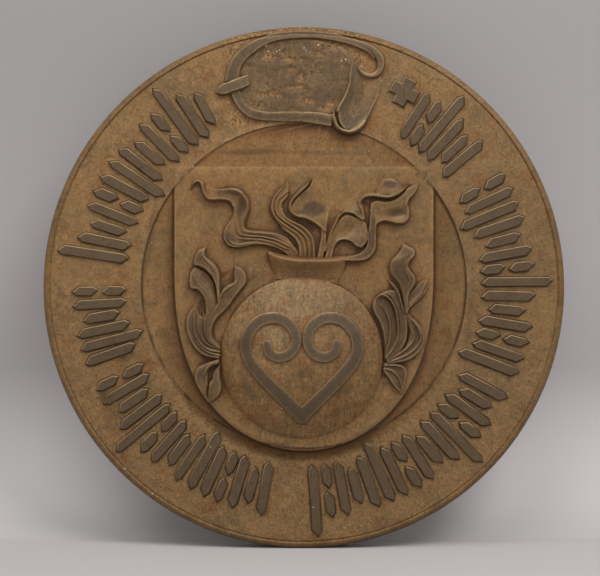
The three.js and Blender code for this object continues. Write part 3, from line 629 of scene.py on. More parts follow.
# Sharp folds on the leaves, each a crest line with a slope to its left and right
FOLDS = [
    {"rise": (2.5, 5, 6.5, 7, 7.4, 7.4, 7, 5.5), "left": (1.5, 1.5, 2, 4, 6, 6, 4, 2),
     "right": (1.5, 1.3, 1.4, 1.6, 1.6, 1.6, 1.5), "path": [
        (-107.5, 93.5), (-106, 98.5), (-102, 101.5), (-98, 100), (-96.5, 94), (-93.5, 88),
        (-90, 84.5), (-81, 84.5), (-73.5, 84), (-69, 82), (-67, 78),
    ]},
    {"rise": (2, 7, 8.2, 8.4, 8.4, 8, 8, 7.6, 7.4, 6, 4),
     "left": (5, 5, 4.5, 3, 2.5, 2.5, 3.5, 4, 3),
     "right": 1.4, "path": [
        (-82, 93.5), (-71.5, 93.5), (-64, 92), (-58, 88), (-54, 82), (-54, 75), (-56.5, 66.5),
        (-58.5, 59), (-57, 54.5), (-51.5, 52.5), (-40, 51.5), (-27.5, 50), (-17, 46), (-11.5, 40.5),
    ]},
    {"rise": (3.5, 6.6, 7, 6.8, 6.4, 6), "left": 1.3, "right": 1.2, "path": [
        (-64.5, 62.5), (-63.5, 57), (-60.5, 51), (-53.5, 49), (-40, 48), (-26.5, 45), (-15, 39.5),
    ]},
    {"rise": (4, 6.4, 6.6, 6.4, 6), "left": 1.4, "right": 1.3, "path": [
        (-68, 51), (-63, 47), (-53.5, 46), (-40, 45), (-26.5, 41.5), (-17, 37),
    ]},
    {"rise": (4, 6.5, 7.4, 7.2, 6.5), "left": (3.5, 4, 3, 2), "right": (3.5, 3.5, 2.5, 2), "path": [
        (-69.5, 62.5), (-73, 55), (-73, 48), (-69, 42.5), (-62, 40.5), (-53.5, 41.5), (-44, 43.5),
    ]},
    {"rise": (3.5, 6, 7, 7, 6.6, 6), "left": 1.5, "right": 1.2, "path": [
        (-16, 104), (-18.5, 97), (-23, 92.5), (-27.5, 86.5), (-30, 80.5), (-30, 73), (-26.5, 66.5),
        (-20.5, 61), (-13.5, 56), (-6, 51), (-1.5, 45.5), (0.5, 38.5), (1, 29),
    ]},
    {"rise": (4.5, 6.6, 7, 7, 6.6, 6), "left": 1.3, "right": 1.5, "path": [
        (-14, 92), (-19, 88), (-24.5, 84), (-26.5, 79), (-26, 72), (-22.5, 66.5), (-15.5, 61.5),
        (-7.5, 56.5), (-1, 51.5), (3.5, 45.5), (5, 38.5), (5, 28),
    ]},
    {"rise": (3, 5.5, 6.6, 6.6, 6, 6), "left": 1.3, "right": 1.3, "path": [
        (-20, 77), (-20.5, 72), (-18, 67), (-11.5, 62.5), (-3.5, 58.5), (3, 53.5), (7.5, 47),
        (9, 39.5), (9.5, 28),
    ]},
    {"rise": (3.5, 5.5, 6.2, 6, 6), "left": 1.3, "right": 1.3, "path": [
        (-24, 59), (-17, 54.5), (-11, 50), (-6.5, 45), (-4, 38.5), (-3.5, 29),
    ]},
    {"rise": (4, 7.4, 8.4, 8.4, 8, 8, 8, 7.4, 6.8), "left": (1.2, 1.4, 1.4, 1.2, 1.2, 2, 2, 1.6),
     "right": (3, 4.5, 4.5, 3, 1.4, 1.6, 1.8, 2), "path": [
        (8.5, 105), (3.5, 98), (-3.5, 91), (-10.5, 84), (-13, 78), (-11.5, 72), (-6.5, 68),
        (1, 66.5), (8.5, 63.5), (15.5, 58.5), (20, 54),
    ]},
    {"rise": (4, 6.2, 6.6, 6.2), "left": 1.3, "right": 1.3, "path": [
        (19, 54), (20, 47.5), (19.5, 38.5), (16, 27.5),
    ]},
    {"rise": (4, 6.2, 6.6, 6.2), "left": 1.3, "right": 1.3, "path": [
        (27, 51), (25.5, 44.5), (23.5, 37), (22, 27.5),
    ]},
    {"rise": (3.5, 6.5, 7, 7, 7, 6.5), "left": 1.2, "right": (4, 3.5, 2.5, 1.5), "path": [
        (39.5, 72.5), (33.5, 68), (30, 61), (26.5, 53), (23.5, 43.5), (20.5, 35),
    ]},
    {"rise": (2.5, 5.5, 6.4, 6.6, 5.5), "left": (3, 5, 5, 3), "right": 1.2, "path": [
        (37.5, 72), (42, 72), (48, 70.5), (52.5, 67), (56.5, 64.5),
    ]},
    {"rise": (5.5, 6, 5.5, 3.5), "left": (3, 5, 5, 4), "right": 1.3, "path": [
        (56.5, 64.5), (56, 70.5), (54, 76), (52, 83),
    ]},
    {"rise": (4.5, 7, 8.6, 8.8, 8.6, 8.4, 8, 7.4, 6, 4),
     "left": (1.5, 1.5, 1.6, 1.6, 1.6, 1.6, 1.6, 1.6, 1.5),
     "right": (3, 5, 6, 7, 7, 7, 6, 4, 2), "path": [
        (101, 99), (96.5, 95), (92.5, 91.5), (87, 88), (80.5, 86), (73, 86.5), (65, 87.5),
        (58.5, 86.5), (54, 83), (53, 77),
    ]},
    {"rise": (3, 6.4, 7, 7.2, 6.6, 5.6, 3.5), "left": (1.4, 1.6, 1.8, 1.8, 2),
     "right": (2.5, 2.5, 2, 2, 2), "path": [
        (71.5, 61), (75, 64), (80.5, 64), (86, 62.5), (92, 62), (96.5, 65.5), (99, 71.5),
        (98.5, 77),
    ]},
    {"rise": (3, 6.4, 6.8, 6.4, 5), "left": 1.2, "right": 1.2, "path": [
        (69.5, 65.5), (67, 61), (65, 55), (64, 48.5), (64, 40.5), (61.5, 34.5), (53.5, 30),
    ]},
    {"rise": (3.5, 8.2, 9, 9, 8.8, 8.2, 7), "left": 1.2, "right": (2, 4, 5, 4, 3), "path": [
        (-93, 38), (-95.5, 34), (-95.5, 29.5), (-92, 25.5), (-88.5, 21.5), (-85, 16.5), (-83, 10),
        (-81.5, 2.5), (-81, -7),
    ]},
    {"rise": (4, 7.2, 7.6, 7.4, 6.6), "left": (3, 4, 4, 3), "right": (2, 2.4, 2.4, 2), "path": [
        (-103, 16.5), (-104, 11), (-102.5, 5.5), (-98.5, 1), (-93.5, -3.5), (-90, -10),
    ]},
    {"rise": (4, 7.8, 8.4, 8.2, 8, 7.8, 7.8, 7), "left": (2, 4.5, 5, 4, 4, 3), "right": 1.5,
     "path": [
        (-65, 19.5), (-63, 14), (-63, 7), (-67, 2.5), (-72.5, -1), (-77.5, -6), (-80.5, -15),
        (-85.5, -24.5), (-90, -33), (-91.5, -42.5), (-90, -50),
    ]},
    {"rise": (3.5, 7.2, 7.8, 7.8, 7.6, 7.4, 6.5), "left": 1.3, "right": (2, 4, 4, 2.6, 1.5),
     "path": [
        (-103, -18), (-104, -25.5), (-104.5, -34), (-104, -42.5), (-100, -50.5), (-94.5, -56.5),
        (-89, -59.5), (-80.5, -61),
    ]},
    {"rise": (4, 7, 7.4, 7.2, 6.4), "left": 1.3, "right": 1.8, "path": [
        (-105.5, -40.5), (-103.5, -48), (-99, -55), (-93, -60), (-88, -62.5), (-80.5, -64.5),
    ]},
    {"rise": (3.5, 6.6, 7, 6.8, 6), "left": 1.1, "right": (2, 2.6, 2.2, 1.5), "path": [
        (-96, -21), (-94.5, -29), (-94.5, -38), (-93, -45.5), (-89.5, -51.5), (-80.5, -56.5),
    ]},
    {"rise": (4, 6.2, 6.4, 5.6), "left": 1.2, "right": 1.2, "path": [
        (-100, -25), (-100, -33), (-99.5, -41.5), (-96, -49), (-90.5, -54.5), (-80.5, -58.5),
    ]},
    {"rise": (5, 7.6, 8, 7.6, 5.5), "left": 1.5, "right": (1.5, 2.5, 4, 4), "path": [
        (-80.5, -70), (-88, -73), (-92.5, -78), (-95, -83.5), (-95.5, -90.5),
    ]},
    {"rise": (4, 7, 7.2, 4), "left": 3.2, "right": 1.2, "path": [
        (-87.5, -87.5), (-89, -93.5), (-89.5, -100), (-90, -107),
    ]},
    {"rise": (4, 8, 8.6, 8.2, 8, 8.2, 8.2, 7), "left": (1, 1.4, 1.8, 2, 2.6, 3, 2.4),
     "right": (1.5, 3, 3.4, 3.4, 3), "path": [
        (104.5, 35), (102.5, 30), (98.5, 25), (95.5, 20.5), (96, 16), (99.5, 10.5), (100, 4.5),
        (97.5, -2.5),
    ]},
    {"rise": (3, 7.4, 8, 7.8, 6.6), "left": 1.2, "right": (1.5, 3, 3.4, 3), "path": [
        (117, 7), (114.5, 1), (111.5, -5.5), (106, -11), (100, -16.5),
    ]},
    {"rise": (1, 6.4, 8, 8.2, 7), "left": 1.2, "right": (1.2, 2, 3, 3), "path": [
        (79.5, 7.5), (85, 2), (89, -4), (91.5, -12), (94.5, -23.5),
    ]},
    {"rise": (5.5, 7.6, 8.4, 8.4, 8.2, 8, 7.6, 6.6), "left": (2, 2.6, 3, 3, 2.4, 2),
     "right": (1.5, 1.8, 1.8, 1.6, 1.5), "path": [
        (68, -16), (69.5, -10), (74, -7), (80, -9.5), (85, -16), (88, -24.5), (89.5, -36),
        (89, -47.5), (85, -57.5), (78, -67),
    ]},
    {"rise": (5, 7.2, 7.6, 7.4, 6.4), "left": 1.4, "right": (2.4, 3.2, 2.6, 2), "path": [
        (72, -15), (76.5, -21), (80.5, -29.5), (82, -40.5), (81, -52), (78.5, -62.5),
    ]},
    {"rise": (4, 6.8, 7, 6), "left": 1.1, "right": 1.1, "path": [
        (71.5, -32), (75, -39), (77, -48.5), (78, -59),
    ]},
    {"rise": (4.5, 7.6, 8.4, 8.4, 8, 7.4, 6.4), "left": (1.5, 2, 2, 1.8),
     "right": (2, 3, 3.4, 2.4, 1.6), "path": [
        (99, -27.5), (105.5, -34), (109.5, -41.5), (110.5, -49.5), (107, -56.5), (100, -62.5),
        (91.5, -67), (80, -71),
    ]},
    {"rise": (4, 6.6, 7.2, 6.8, 6), "left": 1.4, "right": 1.8, "path": [
        (99.5, -35), (103.5, -42.5), (104, -49.5), (99.5, -56), (92, -62), (80, -69.5),
    ]},
    {"rise": (3.5, 6.8, 7.4, 7.2, 6), "left": (1.5, 3, 3, 2), "right": 1.3, "path": [
        (93, -100), (92.5, -93.5), (90, -86), (85.5, -80.5), (80.5, -78), (76.5, -77.5),
    ]},
    {"rise": (4, 6.8, 7, 6), "left": 1.3, "right": 1.3, "path": [
        (97, -80.5), (93.5, -76), (87, -74), (76.5, -74),
    ]},
    {"rise": (1.5, 3, 3.8, 4.2, 4.4, 4.4, 4.3, 4, 3.6, 3.2), "left": (2, 4, 5, 5, 3, 1.2, 1, 1),
     "right": (1, 0.8, 0.8, 0.8, 1, 1, 1.2, 1.5),
     "top": (0.5, 0.8, 1.4, 1.6, 2.2, 2.8, 3, 2.8, 2.4, 1.6), "path": [
        (50, 217.5), (51, 212.5), (53.5, 207.5), (58, 203.5), (64.5, 202), (71, 205), (73.5, 211.5),
        (73, 219), (67.5, 225.5), (59.5, 230), (51, 233),
    ]},
    {"rise": (1.5, 3.2, 4.6, 5.6, 6.4, 7), "left": 0.8, "right": 1.6, "top": 0.6, "path": [
        (48.5, 219.5), (46, 211), (44.5, 201.5), (43.5, 193), (41, 185), (37.5, 178), (34, 172),
        (32.5, 168),
    ]},
    {"rise": (3, 5.5, 7, 8.2, 9, 9, 8.6, 7.6, 6), "left": 2.2,
     "right": (1.2, 2, 3, 3.6, 3.8, 3.6, 3, 2.2, 1.5), "top": 1, "path": [
        (28.5, 169.5), (28.5, 164), (29.5, 158.5), (32.5, 152.5), (38, 149), (44, 148), (50, 150),
        (54.5, 153.5), (58, 158),
    ]},
]

# Hollows cut along a leaf
HOLLOWS = [
    {"depth": 4.4, "width": 3.4, "path": [
        (28, 83), (26, 75), (24.5, 68.5), (23, 61), (22, 53), (21.5, 43.5),
    ]},
    {"depth": 2.4, "width": 14.0, "path": [
        (50, 62.5), (43, 56), (36.5, 49.5), (29, 42.5),
    ]},
    {"depth": 3.0, "width": 16.0, "path": [
        (105.5, 78), (96, 72), (86, 69), (76.5, 67.5), (67, 68.5),
    ]},
    {"depth": 2.0, "width": 3.0, "path": [
        (-91.5, -90.5), (-91.5, -100), (-91, -107.5),
    ]},
    {"depth": 2.6, "width": 3.0, "path": [
        (96, -24.5), (98.5, -34), (100, -44.5), (96, -56), (82.5, -68.5),
    ]},
]

# Dark wash left on the flames from the cup, as middle, half width, half height and strength
WASH_PATCHES = [
    (-100.5, 95, 7.5, 6.5, 0.6), (-65, 92.5, 18, 5, 0.7), (-59, 72, 5.5, 16.5, 0.65),
    (-40, 48.5, 26, 6.5, 0.65), (-71.5, 45.5, 8.5, 8.5, 0.6), (-10.5, 108.5, 6.5, 5, 0.9),
    (-1, 93.5, 5.5, 11.5, 0.7), (1, 69.5, 15.5, 5.5, 0.6), (9.5, 75, 11, 7.5, 1.0),
    (73, 86.5, 21, 5.5, 0.75), (83.5, 100, 10, 5.5, 0.95), (90, 69.5, 12.5, 6.5, 0.65),
    (64, 55, 5, 21, 0.7), (49, 71.5, 8.5, 5, 0.6), (41, 43.5, 13.5, 5.5, 0.7),
    (20, 49.5, 7.5, 19, 0.3), (-18, 53, 15.5, 17, 0.3), (108, 97, 4, 8.5, 0.5),
]
WASH_ON_SIDE_FLAMES = 0.55
WASH_ON_CUP_FLAMES = 0.22
WASH_ON_CARTOUCHE_GROUND = 0.42
WASH_PATCH_EDGE = (0.3, 1.4)
SIDE_FLAMES_FROM = 50.0
SIDE_FLAMES_BELOW = 45.0
CARTOUCHE_FROM = RECESS_RADIUS - 12

# Height above what a form stands on, between which its wash comes in
FLAME_WASH = (1.5, 4.0)
BAND_WASH = (2.2, 3.2)
BEATEN_WASH = (0.2, 0.8)
VOLUTE_WASH = (1.2, 2.0)
VOLUTE_REACH = BALL_RADIUS * 0.92
STROKE_WASH = (0.9, 1.6)
SKIRT_FROM = (0.05, 0.15)
SKIRT_TO = (0.5, 1.2)
FACE_FROM = RECESS_DEEP - 1.5

# Dirt and painted shade along the foot of the step around the recess
RECESS_DIRT_AND_SHADE = 0.9
RECESS_DIRT_AND_SHADE_IN = 1.0
RECESS_DIRT_AND_SHADE_SPREAD = (0.5, 1.9)

# Smears of grime on the plain faces, as middle, turn, half length, half width and strength
SMEARS = [
    (-48, 130, 2, 42, 4.0, 0.5), (20, 129, -1, 60, 3.0, 0.3), (-30, -150, 4, 24, 4.0, 0.5),
    (-150, 35, 80, 60, 5.0, 0.35), (158, -30, 85, 60, 5.0, 0.3), (-58, -54, 0, 17, 9, 0.35),
    (0, -80, 10, 13, 6, 0.4), (38, -97, 35, 13, 8, 0.45), (30, -118, 25, 15, 5, 0.4),
    (-52, -98, -50, 16, 6, 0.35), (-192, -105, 30, 9, 7, 0.55), (-168, -66, 20, 12, 5, 0.4),
    (3, 16, 0, 40, 13, 0.2),
]

# White chips, as middle and size
CHIPS = [
    (-36, 231, 1.6), (-34, 226, 1.2), (-26, 226, 1.2), (-23, 227, 1.0), (0, 229, 1.2),
    (2, 227, 1.0), (14, 232, 1.4), (25, 235, 1.0), (36, 217, 1.2), (40, 218, 1.2), (5, 249, 1.0),
    (-171, -173, 1.6), (-145, -197, 1.4), (9, -210, 1.2), (-106, 116, 1.2), (-146, 43, 1.0),
    (-21, -114, 1.0), (-89, -152, 1.0),
]

# Word groups as first and last angle, counter-clockwise from the right, read clockwise
WORD_GROUPS = [(57, 39), (29, -22), (-29, -87), (-101, -154), (-161, -179), (171, 119)]

# Kinds of strokes as inner and outer radius, and for a broken one a second nearer the centre
STROKE_KINDS = {
    "bar": ((STROKE_INNER, STROKE_OUTER), None),
    "tall": ((STROKE_INNER, STROKE_ASCENDER), None),
    "deep": ((STROKE_DESCENDER, STROKE_OUTER), None),
    "broken": (
        (STROKE_MIDDLE + STROKE_GAP, STROKE_OUTER), (STROKE_INNER, STROKE_MIDDLE - STROKE_GAP),
    ),
    "short": ((STROKE_INNER + STROKE_SHORTER, STROKE_OUTER - STROKE_SHORTER), None),
}
STROKE_ORDER = [
    "bar", "broken", "tall", "bar", "short", "bar", "broken", "bar", "deep", "bar", "short",
]


# Relief: the height out of the wall at any point of the face


def smooth(value, low, high):
    t = np.clip((value - low) / (high - low), 0.0, 1.0)
    return t * t * (3.0 - 2.0 * t)


def soft_max(a, b, blend):
    """Higher of two surfaces, with the crease between them rounded over."""
    close = np.maximum(blend - np.abs(a - b), 0) / blend
    return np.maximum(a, b) + close * close * blend / 4


def curve_through(points, samples):
    """Even samples along a smooth curve through the points, the tangent at each, and the length."""
    p = np.array(points, float)
    p = np.vstack([2 * p[0] - p[1], p, 2 * p[-1] - p[-2]])
    dense = []
    for i in range(1, len(p) - 2):
        p0, p1, p2, p3 = p[i - 1:i + 3]
        d0, d1, d2 = (math.sqrt(np.linalg.norm(v)) or 1.0 for v in (p1 - p0, p2 - p1, p3 - p2))
        start = ((p1 - p0) / d0 - (p2 - p0) / (d0 + d1) + (p2 - p1) / d1) * d1
        end = ((p2 - p1) / d1 - (p3 - p1) / (d1 + d2) + (p3 - p2) / d2) * d1
        t = np.linspace(0, 1, CURVE_STEPS, endpoint=False)[:, None]
        square = -3 * p1 + 3 * p2 - 2 * start - end
        cube = 2 * p1 - 2 * p2 + start + end
        dense.append(p1 + start * t + square * t ** 2 + cube * t ** 3)
    dense = np.vstack(dense + [p[-2][None, :]])
    length = np.concatenate([[0], np.cumsum(np.linalg.norm(np.diff(dense, axis=0), axis=1))])
    even = np.linspace(0, length[-1], samples)
    line = np.stack([np.interp(even, length, dense[:, k]) for k in (0, 1)], axis=1)
    tangent = np.gradient(line, axis=0)
    tangent /= np.maximum(np.linalg.norm(tangent, axis=1), 1e-6)[:, None]
    return line, tangent, length[-1]


def along_curve(x, y, points, reach, samples_a_point=18, batch=20000):
    """Which points lie within reach of a curve, how far along it each lies (0 to 1), and how far
    to its left, with what lies past an end counted as distance too."""
    line, tangent, length = curve_through(points, len(points) * samples_a_point)
    low = line.min(axis=0) - reach
    high = line.max(axis=0) + reach
    near = np.nonzero((x > low[0]) & (x < high[0]) & (y > low[1]) & (y < high[1]))[0]
    way = np.empty(len(near))
    across = np.empty(len(near))
    step = length / (len(line) - 1)
    for first in range(0, len(near), batch):
        part = near[first:first + batch]
        dx = x[part, None] - line[None, :, 0]
        dy = y[part, None] - line[None, :, 1]
        best = np.argmin(dx * dx + dy * dy, axis=1)
        row = np.arange(len(part))
        rx, ry = dx[row, best], dy[row, best]
        tx, ty = tangent[best, 0], tangent[best, 1]
        ahead = rx * tx + ry * ty
        side = -rx * ty + ry * tx
        beyond = ahead - np.clip(ahead, -step / 2, step / 2)
        t = (best + np.clip(ahead / step, -0.5, 0.5)) / (len(line) - 1)
        way[first:first + batch] = np.clip(t, 0, 1)
        across[first:first + batch] = np.sign(side) * np.hypot(side, beyond)
    keep = np.abs(across) < reach
    return near[keep], way[keep], across[keep]


def hand_finish(x, y, seed):
    """Slight unevenness of a surface finished by hand, as a few crossing slow waves."""
    rng = np.random.default_rng(seed)
    total = np.zeros_like(x)
    for _ in range(FINISH_WAVES):
        turn = rng.uniform(0, math.pi)
        length = rng.uniform(*FINISH_LENGTH)
        phase = rng.uniform(0, FINISH_PHASE)
        way = x * math.cos(turn) + y * math.sin(turn)
        total += np.sin(way * 2 * math.pi / length + phase)
    return total * FINISH_DEPTH / FINISH_WAVES


def shield_face(y):
    return SHIELD_TOP_FACE + (SHIELD_TOP - y) * SHIELD_LEAN


def shield_inside(x, y):
    """Distance inside the shield's outline, below zero outside it."""
    drop = SHIELD_SHOULDER - SHIELD_FOOT
    way = np.maximum((SHIELD_SHOULDER - y) / drop, 0)
    level = 1 - (x / SHIELD_HALF_WIDTH) ** 2 - way ** SHIELD_ROUND
    slope_x = 2 * x / SHIELD_HALF_WIDTH ** 2
    slope_y = SHIELD_ROUND * way ** (SHIELD_ROUND - 1) / drop
    side = level / np.maximum(np.hypot(slope_x, slope_y), 0.004)
    return np.minimum(side, SHIELD_TOP - y)


def ball_face(x, y):
    reach = np.clip(np.hypot(x - BALL_X, y - BALL_Y) / BALL_RADIUS, 0, 1)
    return shield_face(BALL_Y) + BALL_RISE * (1 - reach * reach) ** BALL_FULLNESS


def disc_height(radius):
    """Flat ring field, the fine groove round it and the sloping rim outside."""
    crest = DISC_RADIUS - RIM_WIDTH
    steps = [
        (crest - GROOVE_WIDTH, FIELD),
        (crest - GROOVE_WIDTH / 2, FIELD - GROOVE_DEPTH),
        (crest, RIM_CREST),
        (crest + RIM_LIP, RIM_CREST - RIM_LIP_DROP),
        (
            DISC_RADIUS - RIM_WIDTH * RIM_BEND,
            RIM_SHOULDER + (RIM_CREST - RIM_SHOULDER) * RIM_BEND_LEVEL,
        ),
        (DISC_RADIUS, RIM_SHOULDER),
    ]
    return np.interp(radius, [step[0] for step in steps], [step[1] for step in steps])


def ground_height(x, y):
    """The plain forms that the carving stands on: disc, recess, shield and ball."""
    radius = np.hypot(x, y)
    height = disc_height(radius)
    height = height + (
        hand_finish(x, y, RING_FINISH_SEED) * smooth(DISC_RADIUS - radius, *FINISH_EDGE)
    )
    inward = RECESS_RADIUS - np.hypot(x, y - RECESS_Y)
    out = (RECESS_RADIUS - inward - RECESS_DEEP_RADIUS) / (RECESS_RADIUS - RECESS_DEEP_RADIUS)
    dish = RECESS_DEEP + (RECESS_EDGE - RECESS_DEEP) * np.clip(out, 0, 1) ** 2
    dish = np.where(y > SHIELD_TOP, RECESS_EDGE, dish)
    height = height + (dish - height) * smooth(inward, 0, RECESS_STEP)
    scooped = smooth(COVE_RADIUS - np.hypot(x, y - COVE_Y), 0, COVE_WIDTH)
    scooped = scooped * smooth(COVE_Y - y, 0, COVE_FADE)
    height = np.where(y < COVE_Y, np.minimum(height, FIELD - COVE_DEPTH * scooped), height)
    inside = shield_inside(x, y)
    rounded = 1 - np.clip(inside / SHIELD_SOFT_EDGE, 0, 1)
    foot = SHIELD_EDGE_AT_TOP + (1 - SHIELD_EDGE_AT_TOP) * smooth(SHIELD_TOP - y, *SHIELD_EDGE_DOWN)
    face = shield_face(y) - SHIELD_EDGE_DROP * foot * rounded ** SHIELD_EDGE_CURVE
    face = face + hand_finish(x, y, SHIELD_FINISH_SEED)
    wall = smooth(inside, -SHIELD_WALL, SHIELD_WALL_IN)
    height = np.where(inside > -SHIELD_WALL, height + (face - height) * wall, height)
    on_ball = np.hypot(x - BALL_X, y - BALL_Y) < BALL_RADIUS
    return np.where(on_ball, soft_max(height, ball_face(x, y), BALL_BLEND), height)


def slope_profile(t, reach):
    """Fall of a leaf's side: a steep cliff on a short side, a hollow cove on a long one."""
    t = np.clip(t, 0, 1)
    cliff = 1 - smooth(t, CLIFF_FROM, 1)
    cove = 1 - (1 - (1 - t) ** 2) ** COVE_CURVE
    share = np.clip((reach - CLIFF_REACH) / CLIFF_REACH, 0, 1)
    return cliff * (1 - share) + cove * share


def sized(size, way):
    """A size along a leaf: one number for the whole way, or several that it passes through."""
    if np.ndim(size) == 0:
        return size + 0.0 * way
    return np.interp(way, np.linspace(0, 1, len(size)), size)


def raise_fold(lift, x, y, fold):
    """A crest line whose two sides fall over different distances."""
    top = fold.get("top", FOLD_TOP)
    widest = max(np.max(fold["left"]), np.max(fold["right"])) + np.max(top)
    near, way, across = along_curve(x, y, fold["path"], widest + 0.5)
    top = sized(top, way)
    side = np.where(across > 0, sized(fold["left"], way), sized(fold["right"], way))
    thin = FOLD_TIP + (1 - FOLD_TIP) * smooth(way, 0, TIP_LENGTH)
    past = np.maximum(np.abs(across) - top * thin, 0) / (side * thin)
    crown = 1 - FOLD_CROWN * np.clip(np.abs(across) / top, 0, 1) ** 2
    ridge = (sized(fold["rise"], way) - NO_LIFT) * slope_profile(past, side) * crown + NO_LIFT
    lift[near] = soft_max(lift[near], ridge, FOLD_BLEND)


def cut_hollow(lift, x, y, hollow):
    """A soft channel carved along a leaf, never deeper than just above the ground."""
    near, way, across = along_curve(x, y, hollow["path"], hollow["width"])
    u = np.clip(np.abs(across) / (hollow["width"] / 2), 0, 1)
    ends = smooth(way, 0, HOLLOW_END) * (1 - smooth(way, 1 - HOLLOW_END, 1))
    cut = np.maximum(lift[near] - hollow["depth"] * ends * (1 - u * u) ** 2, HOLLOW_FLOOR)
    lift[near] = np.where(lift[near] > HOLLOW_FLOOR, cut, lift[near])


def leaf_frame(edges, count):
    """Both edges of a leaf at even steps, the gap between them, its width, and the way out."""
    a, b = (curve_through(edge, count)[0] for edge in edges)
    gap = b - a
    wide = np.linalg.norm(gap, axis=1)
    out = gap / np.maximum(wide, NARROWEST)[:, None]
    along = np.gradient((a + b) / 2, axis=0)
    along /= np.maximum(np.linalg.norm(along, axis=1), 1e-6)[:, None]
    normal = np.stack([along[:, 1], -along[:, 0]], axis=1)
    normal *= np.sign((normal * out).sum(axis=1) + 1e-9)[:, None]
    weight = np.clip(wide / NARROW_WIDTH, 0, 1)[:, None]
    out = out * weight + normal * (1 - weight)
    out /= np.maximum(np.linalg.norm(out, axis=1), 1e-6)[:, None]
    return a, b, gap, wide, out


def loft_leaf(lift, columns, leaf):
    """Lofts a leaf between its two edges onto the raster, with a slope down outside each."""
    longest = max(curve_through(edge, EDGE_SAMPLES)[2] for edge in leaf["edges"])
    count = int(longest / LOFT_SPACING)
    a, b, gap, wide, out = leaf_frame(leaf["edges"], count)
    t = np.linspace(0, 1, count)[:, None]
    rise_a, rise_b = (sized(rise, t) for rise in leaf["rise"])
    slope_a, slope_b = (sized(slope, t) for slope in leaf["slope"])
    thin = LEAF_TIP + (1 - LEAF_TIP) * smooth(t, 0, TIP_LENGTH)
    u = np.linspace(0, 1, max(int(wide.max() / LOFT_SPACING), 3))[None, :]
    full = np.clip(wide / FULL_WIDTH, 0, 1)[:, None]
    inner = rise_a * (1 - u) + rise_b * u - sized(leaf["dish"], t) * 4 * u * (1 - u) * full
    xs = [a[:, 0:1] + gap[:, 0:1] * u]
    ys = [a[:, 1:2] + gap[:, 1:2] * u]
    hs = [inner]
    for edge, rise, slope, side in ((a, rise_a, slope_a, -1), (b, rise_b, slope_b, 1)):
        d = np.linspace(0, 1, max(int(slope.max() / LOFT_SPACING) + 2, 5))[None, :]
        xs.append(edge[:, 0:1] + side * out[:, 0:1] * d * slope * thin)
        ys.append(edge[:, 1:2] + side * out[:, 1:2] * d * slope * thin)
        hs.append((rise - NO_LIFT) * slope_profile(d, slope) + NO_LIFT)
    px = (np.concatenate([v.ravel() for v in xs]) - CARVING_LEFT) / CARVING_STEP
    py = (np.concatenate([v.ravel() for v in ys]) - CARVING_FOOT) / CARVING_STEP
    h = np.concatenate([v.ravel() for v in hs])
    ix, iy = np.floor(px).astype(int), np.floor(py).astype(int)
    fx, fy = px - ix, py - iy
    total = np.zeros(lift.size)
    share = np.zeros(lift.size)
    for ax, ay in ((0, 0), (1, 0), (0, 1), (1, 1)):
        weight = (fx if ax else 1 - fx) * (fy if ay else 1 - fy)
        cell = (iy + ay) * columns + ix + ax
        total += np.bincount(cell, weight * h, lift.size)
        share += np.bincount(cell, weight, lift.size)
    there = share > LOFT_SHARE
    lift[there] = soft_max(lift[there], total[there] / share[there], LEAF_BLEND)


def carving():
    """Lift of all the leaves and folds above the shield's face, as rows of a raster."""
    across = np.arange(CARVING_LEFT, CARVING_RIGHT + CARVING_STEP / 2, CARVING_STEP)
    up = np.arange(CARVING_FOOT, CARVING_HEAD + CARVING_STEP / 2, CARVING_STEP)
    x, y = (v.ravel() for v in np.meshgrid(across, up))
    lift = np.full(x.shape, NO_LIFT)
    for leaf in CUP_LEAVES + CARTOUCHE_LEAVES + SIDE_LEAVES:
        loft_leaf(lift, len(across), leaf)
    for hollow in HOLLOWS:
        cut_hollow(lift, x, y, hollow)
    for fold in FOLDS:
        raise_fold(lift, x, y, fold)
    lift = lift.reshape(len(up), len(across))
    for axis in (0, 1):
        lift = 0.25 * np.roll(lift, 1, axis) + 0.5 * lift + 0.25 * np.roll(lift, -1, axis)
    return lift


def raster_value(raster, x, y, left, foot, step, beyond):
    """Reads a raster between its cells, and gives `beyond` outside it."""
    rows, columns = raster.shape
    px = (x - left) / step
    py = (y - foot) / step
    inside = (px > 0) & (px < columns - 1.001) & (py > 0) & (py < rows - 1.001)
    ix = np.where(inside, px, 0).astype(int)
    iy = np.where(inside, py, 0).astype(int)
    fx = np.where(inside, px - ix, 0)
    fy = np.where(inside, py - iy, 0)
    top = raster[iy, ix] * (1 - fx) + raster[iy, ix + 1] * fx
    low = raster[iy + 1, ix] * (1 - fx) + raster[iy + 1, ix + 1] * fx
    return np.where(inside, top * (1 - fy) + low * fy, beyond)


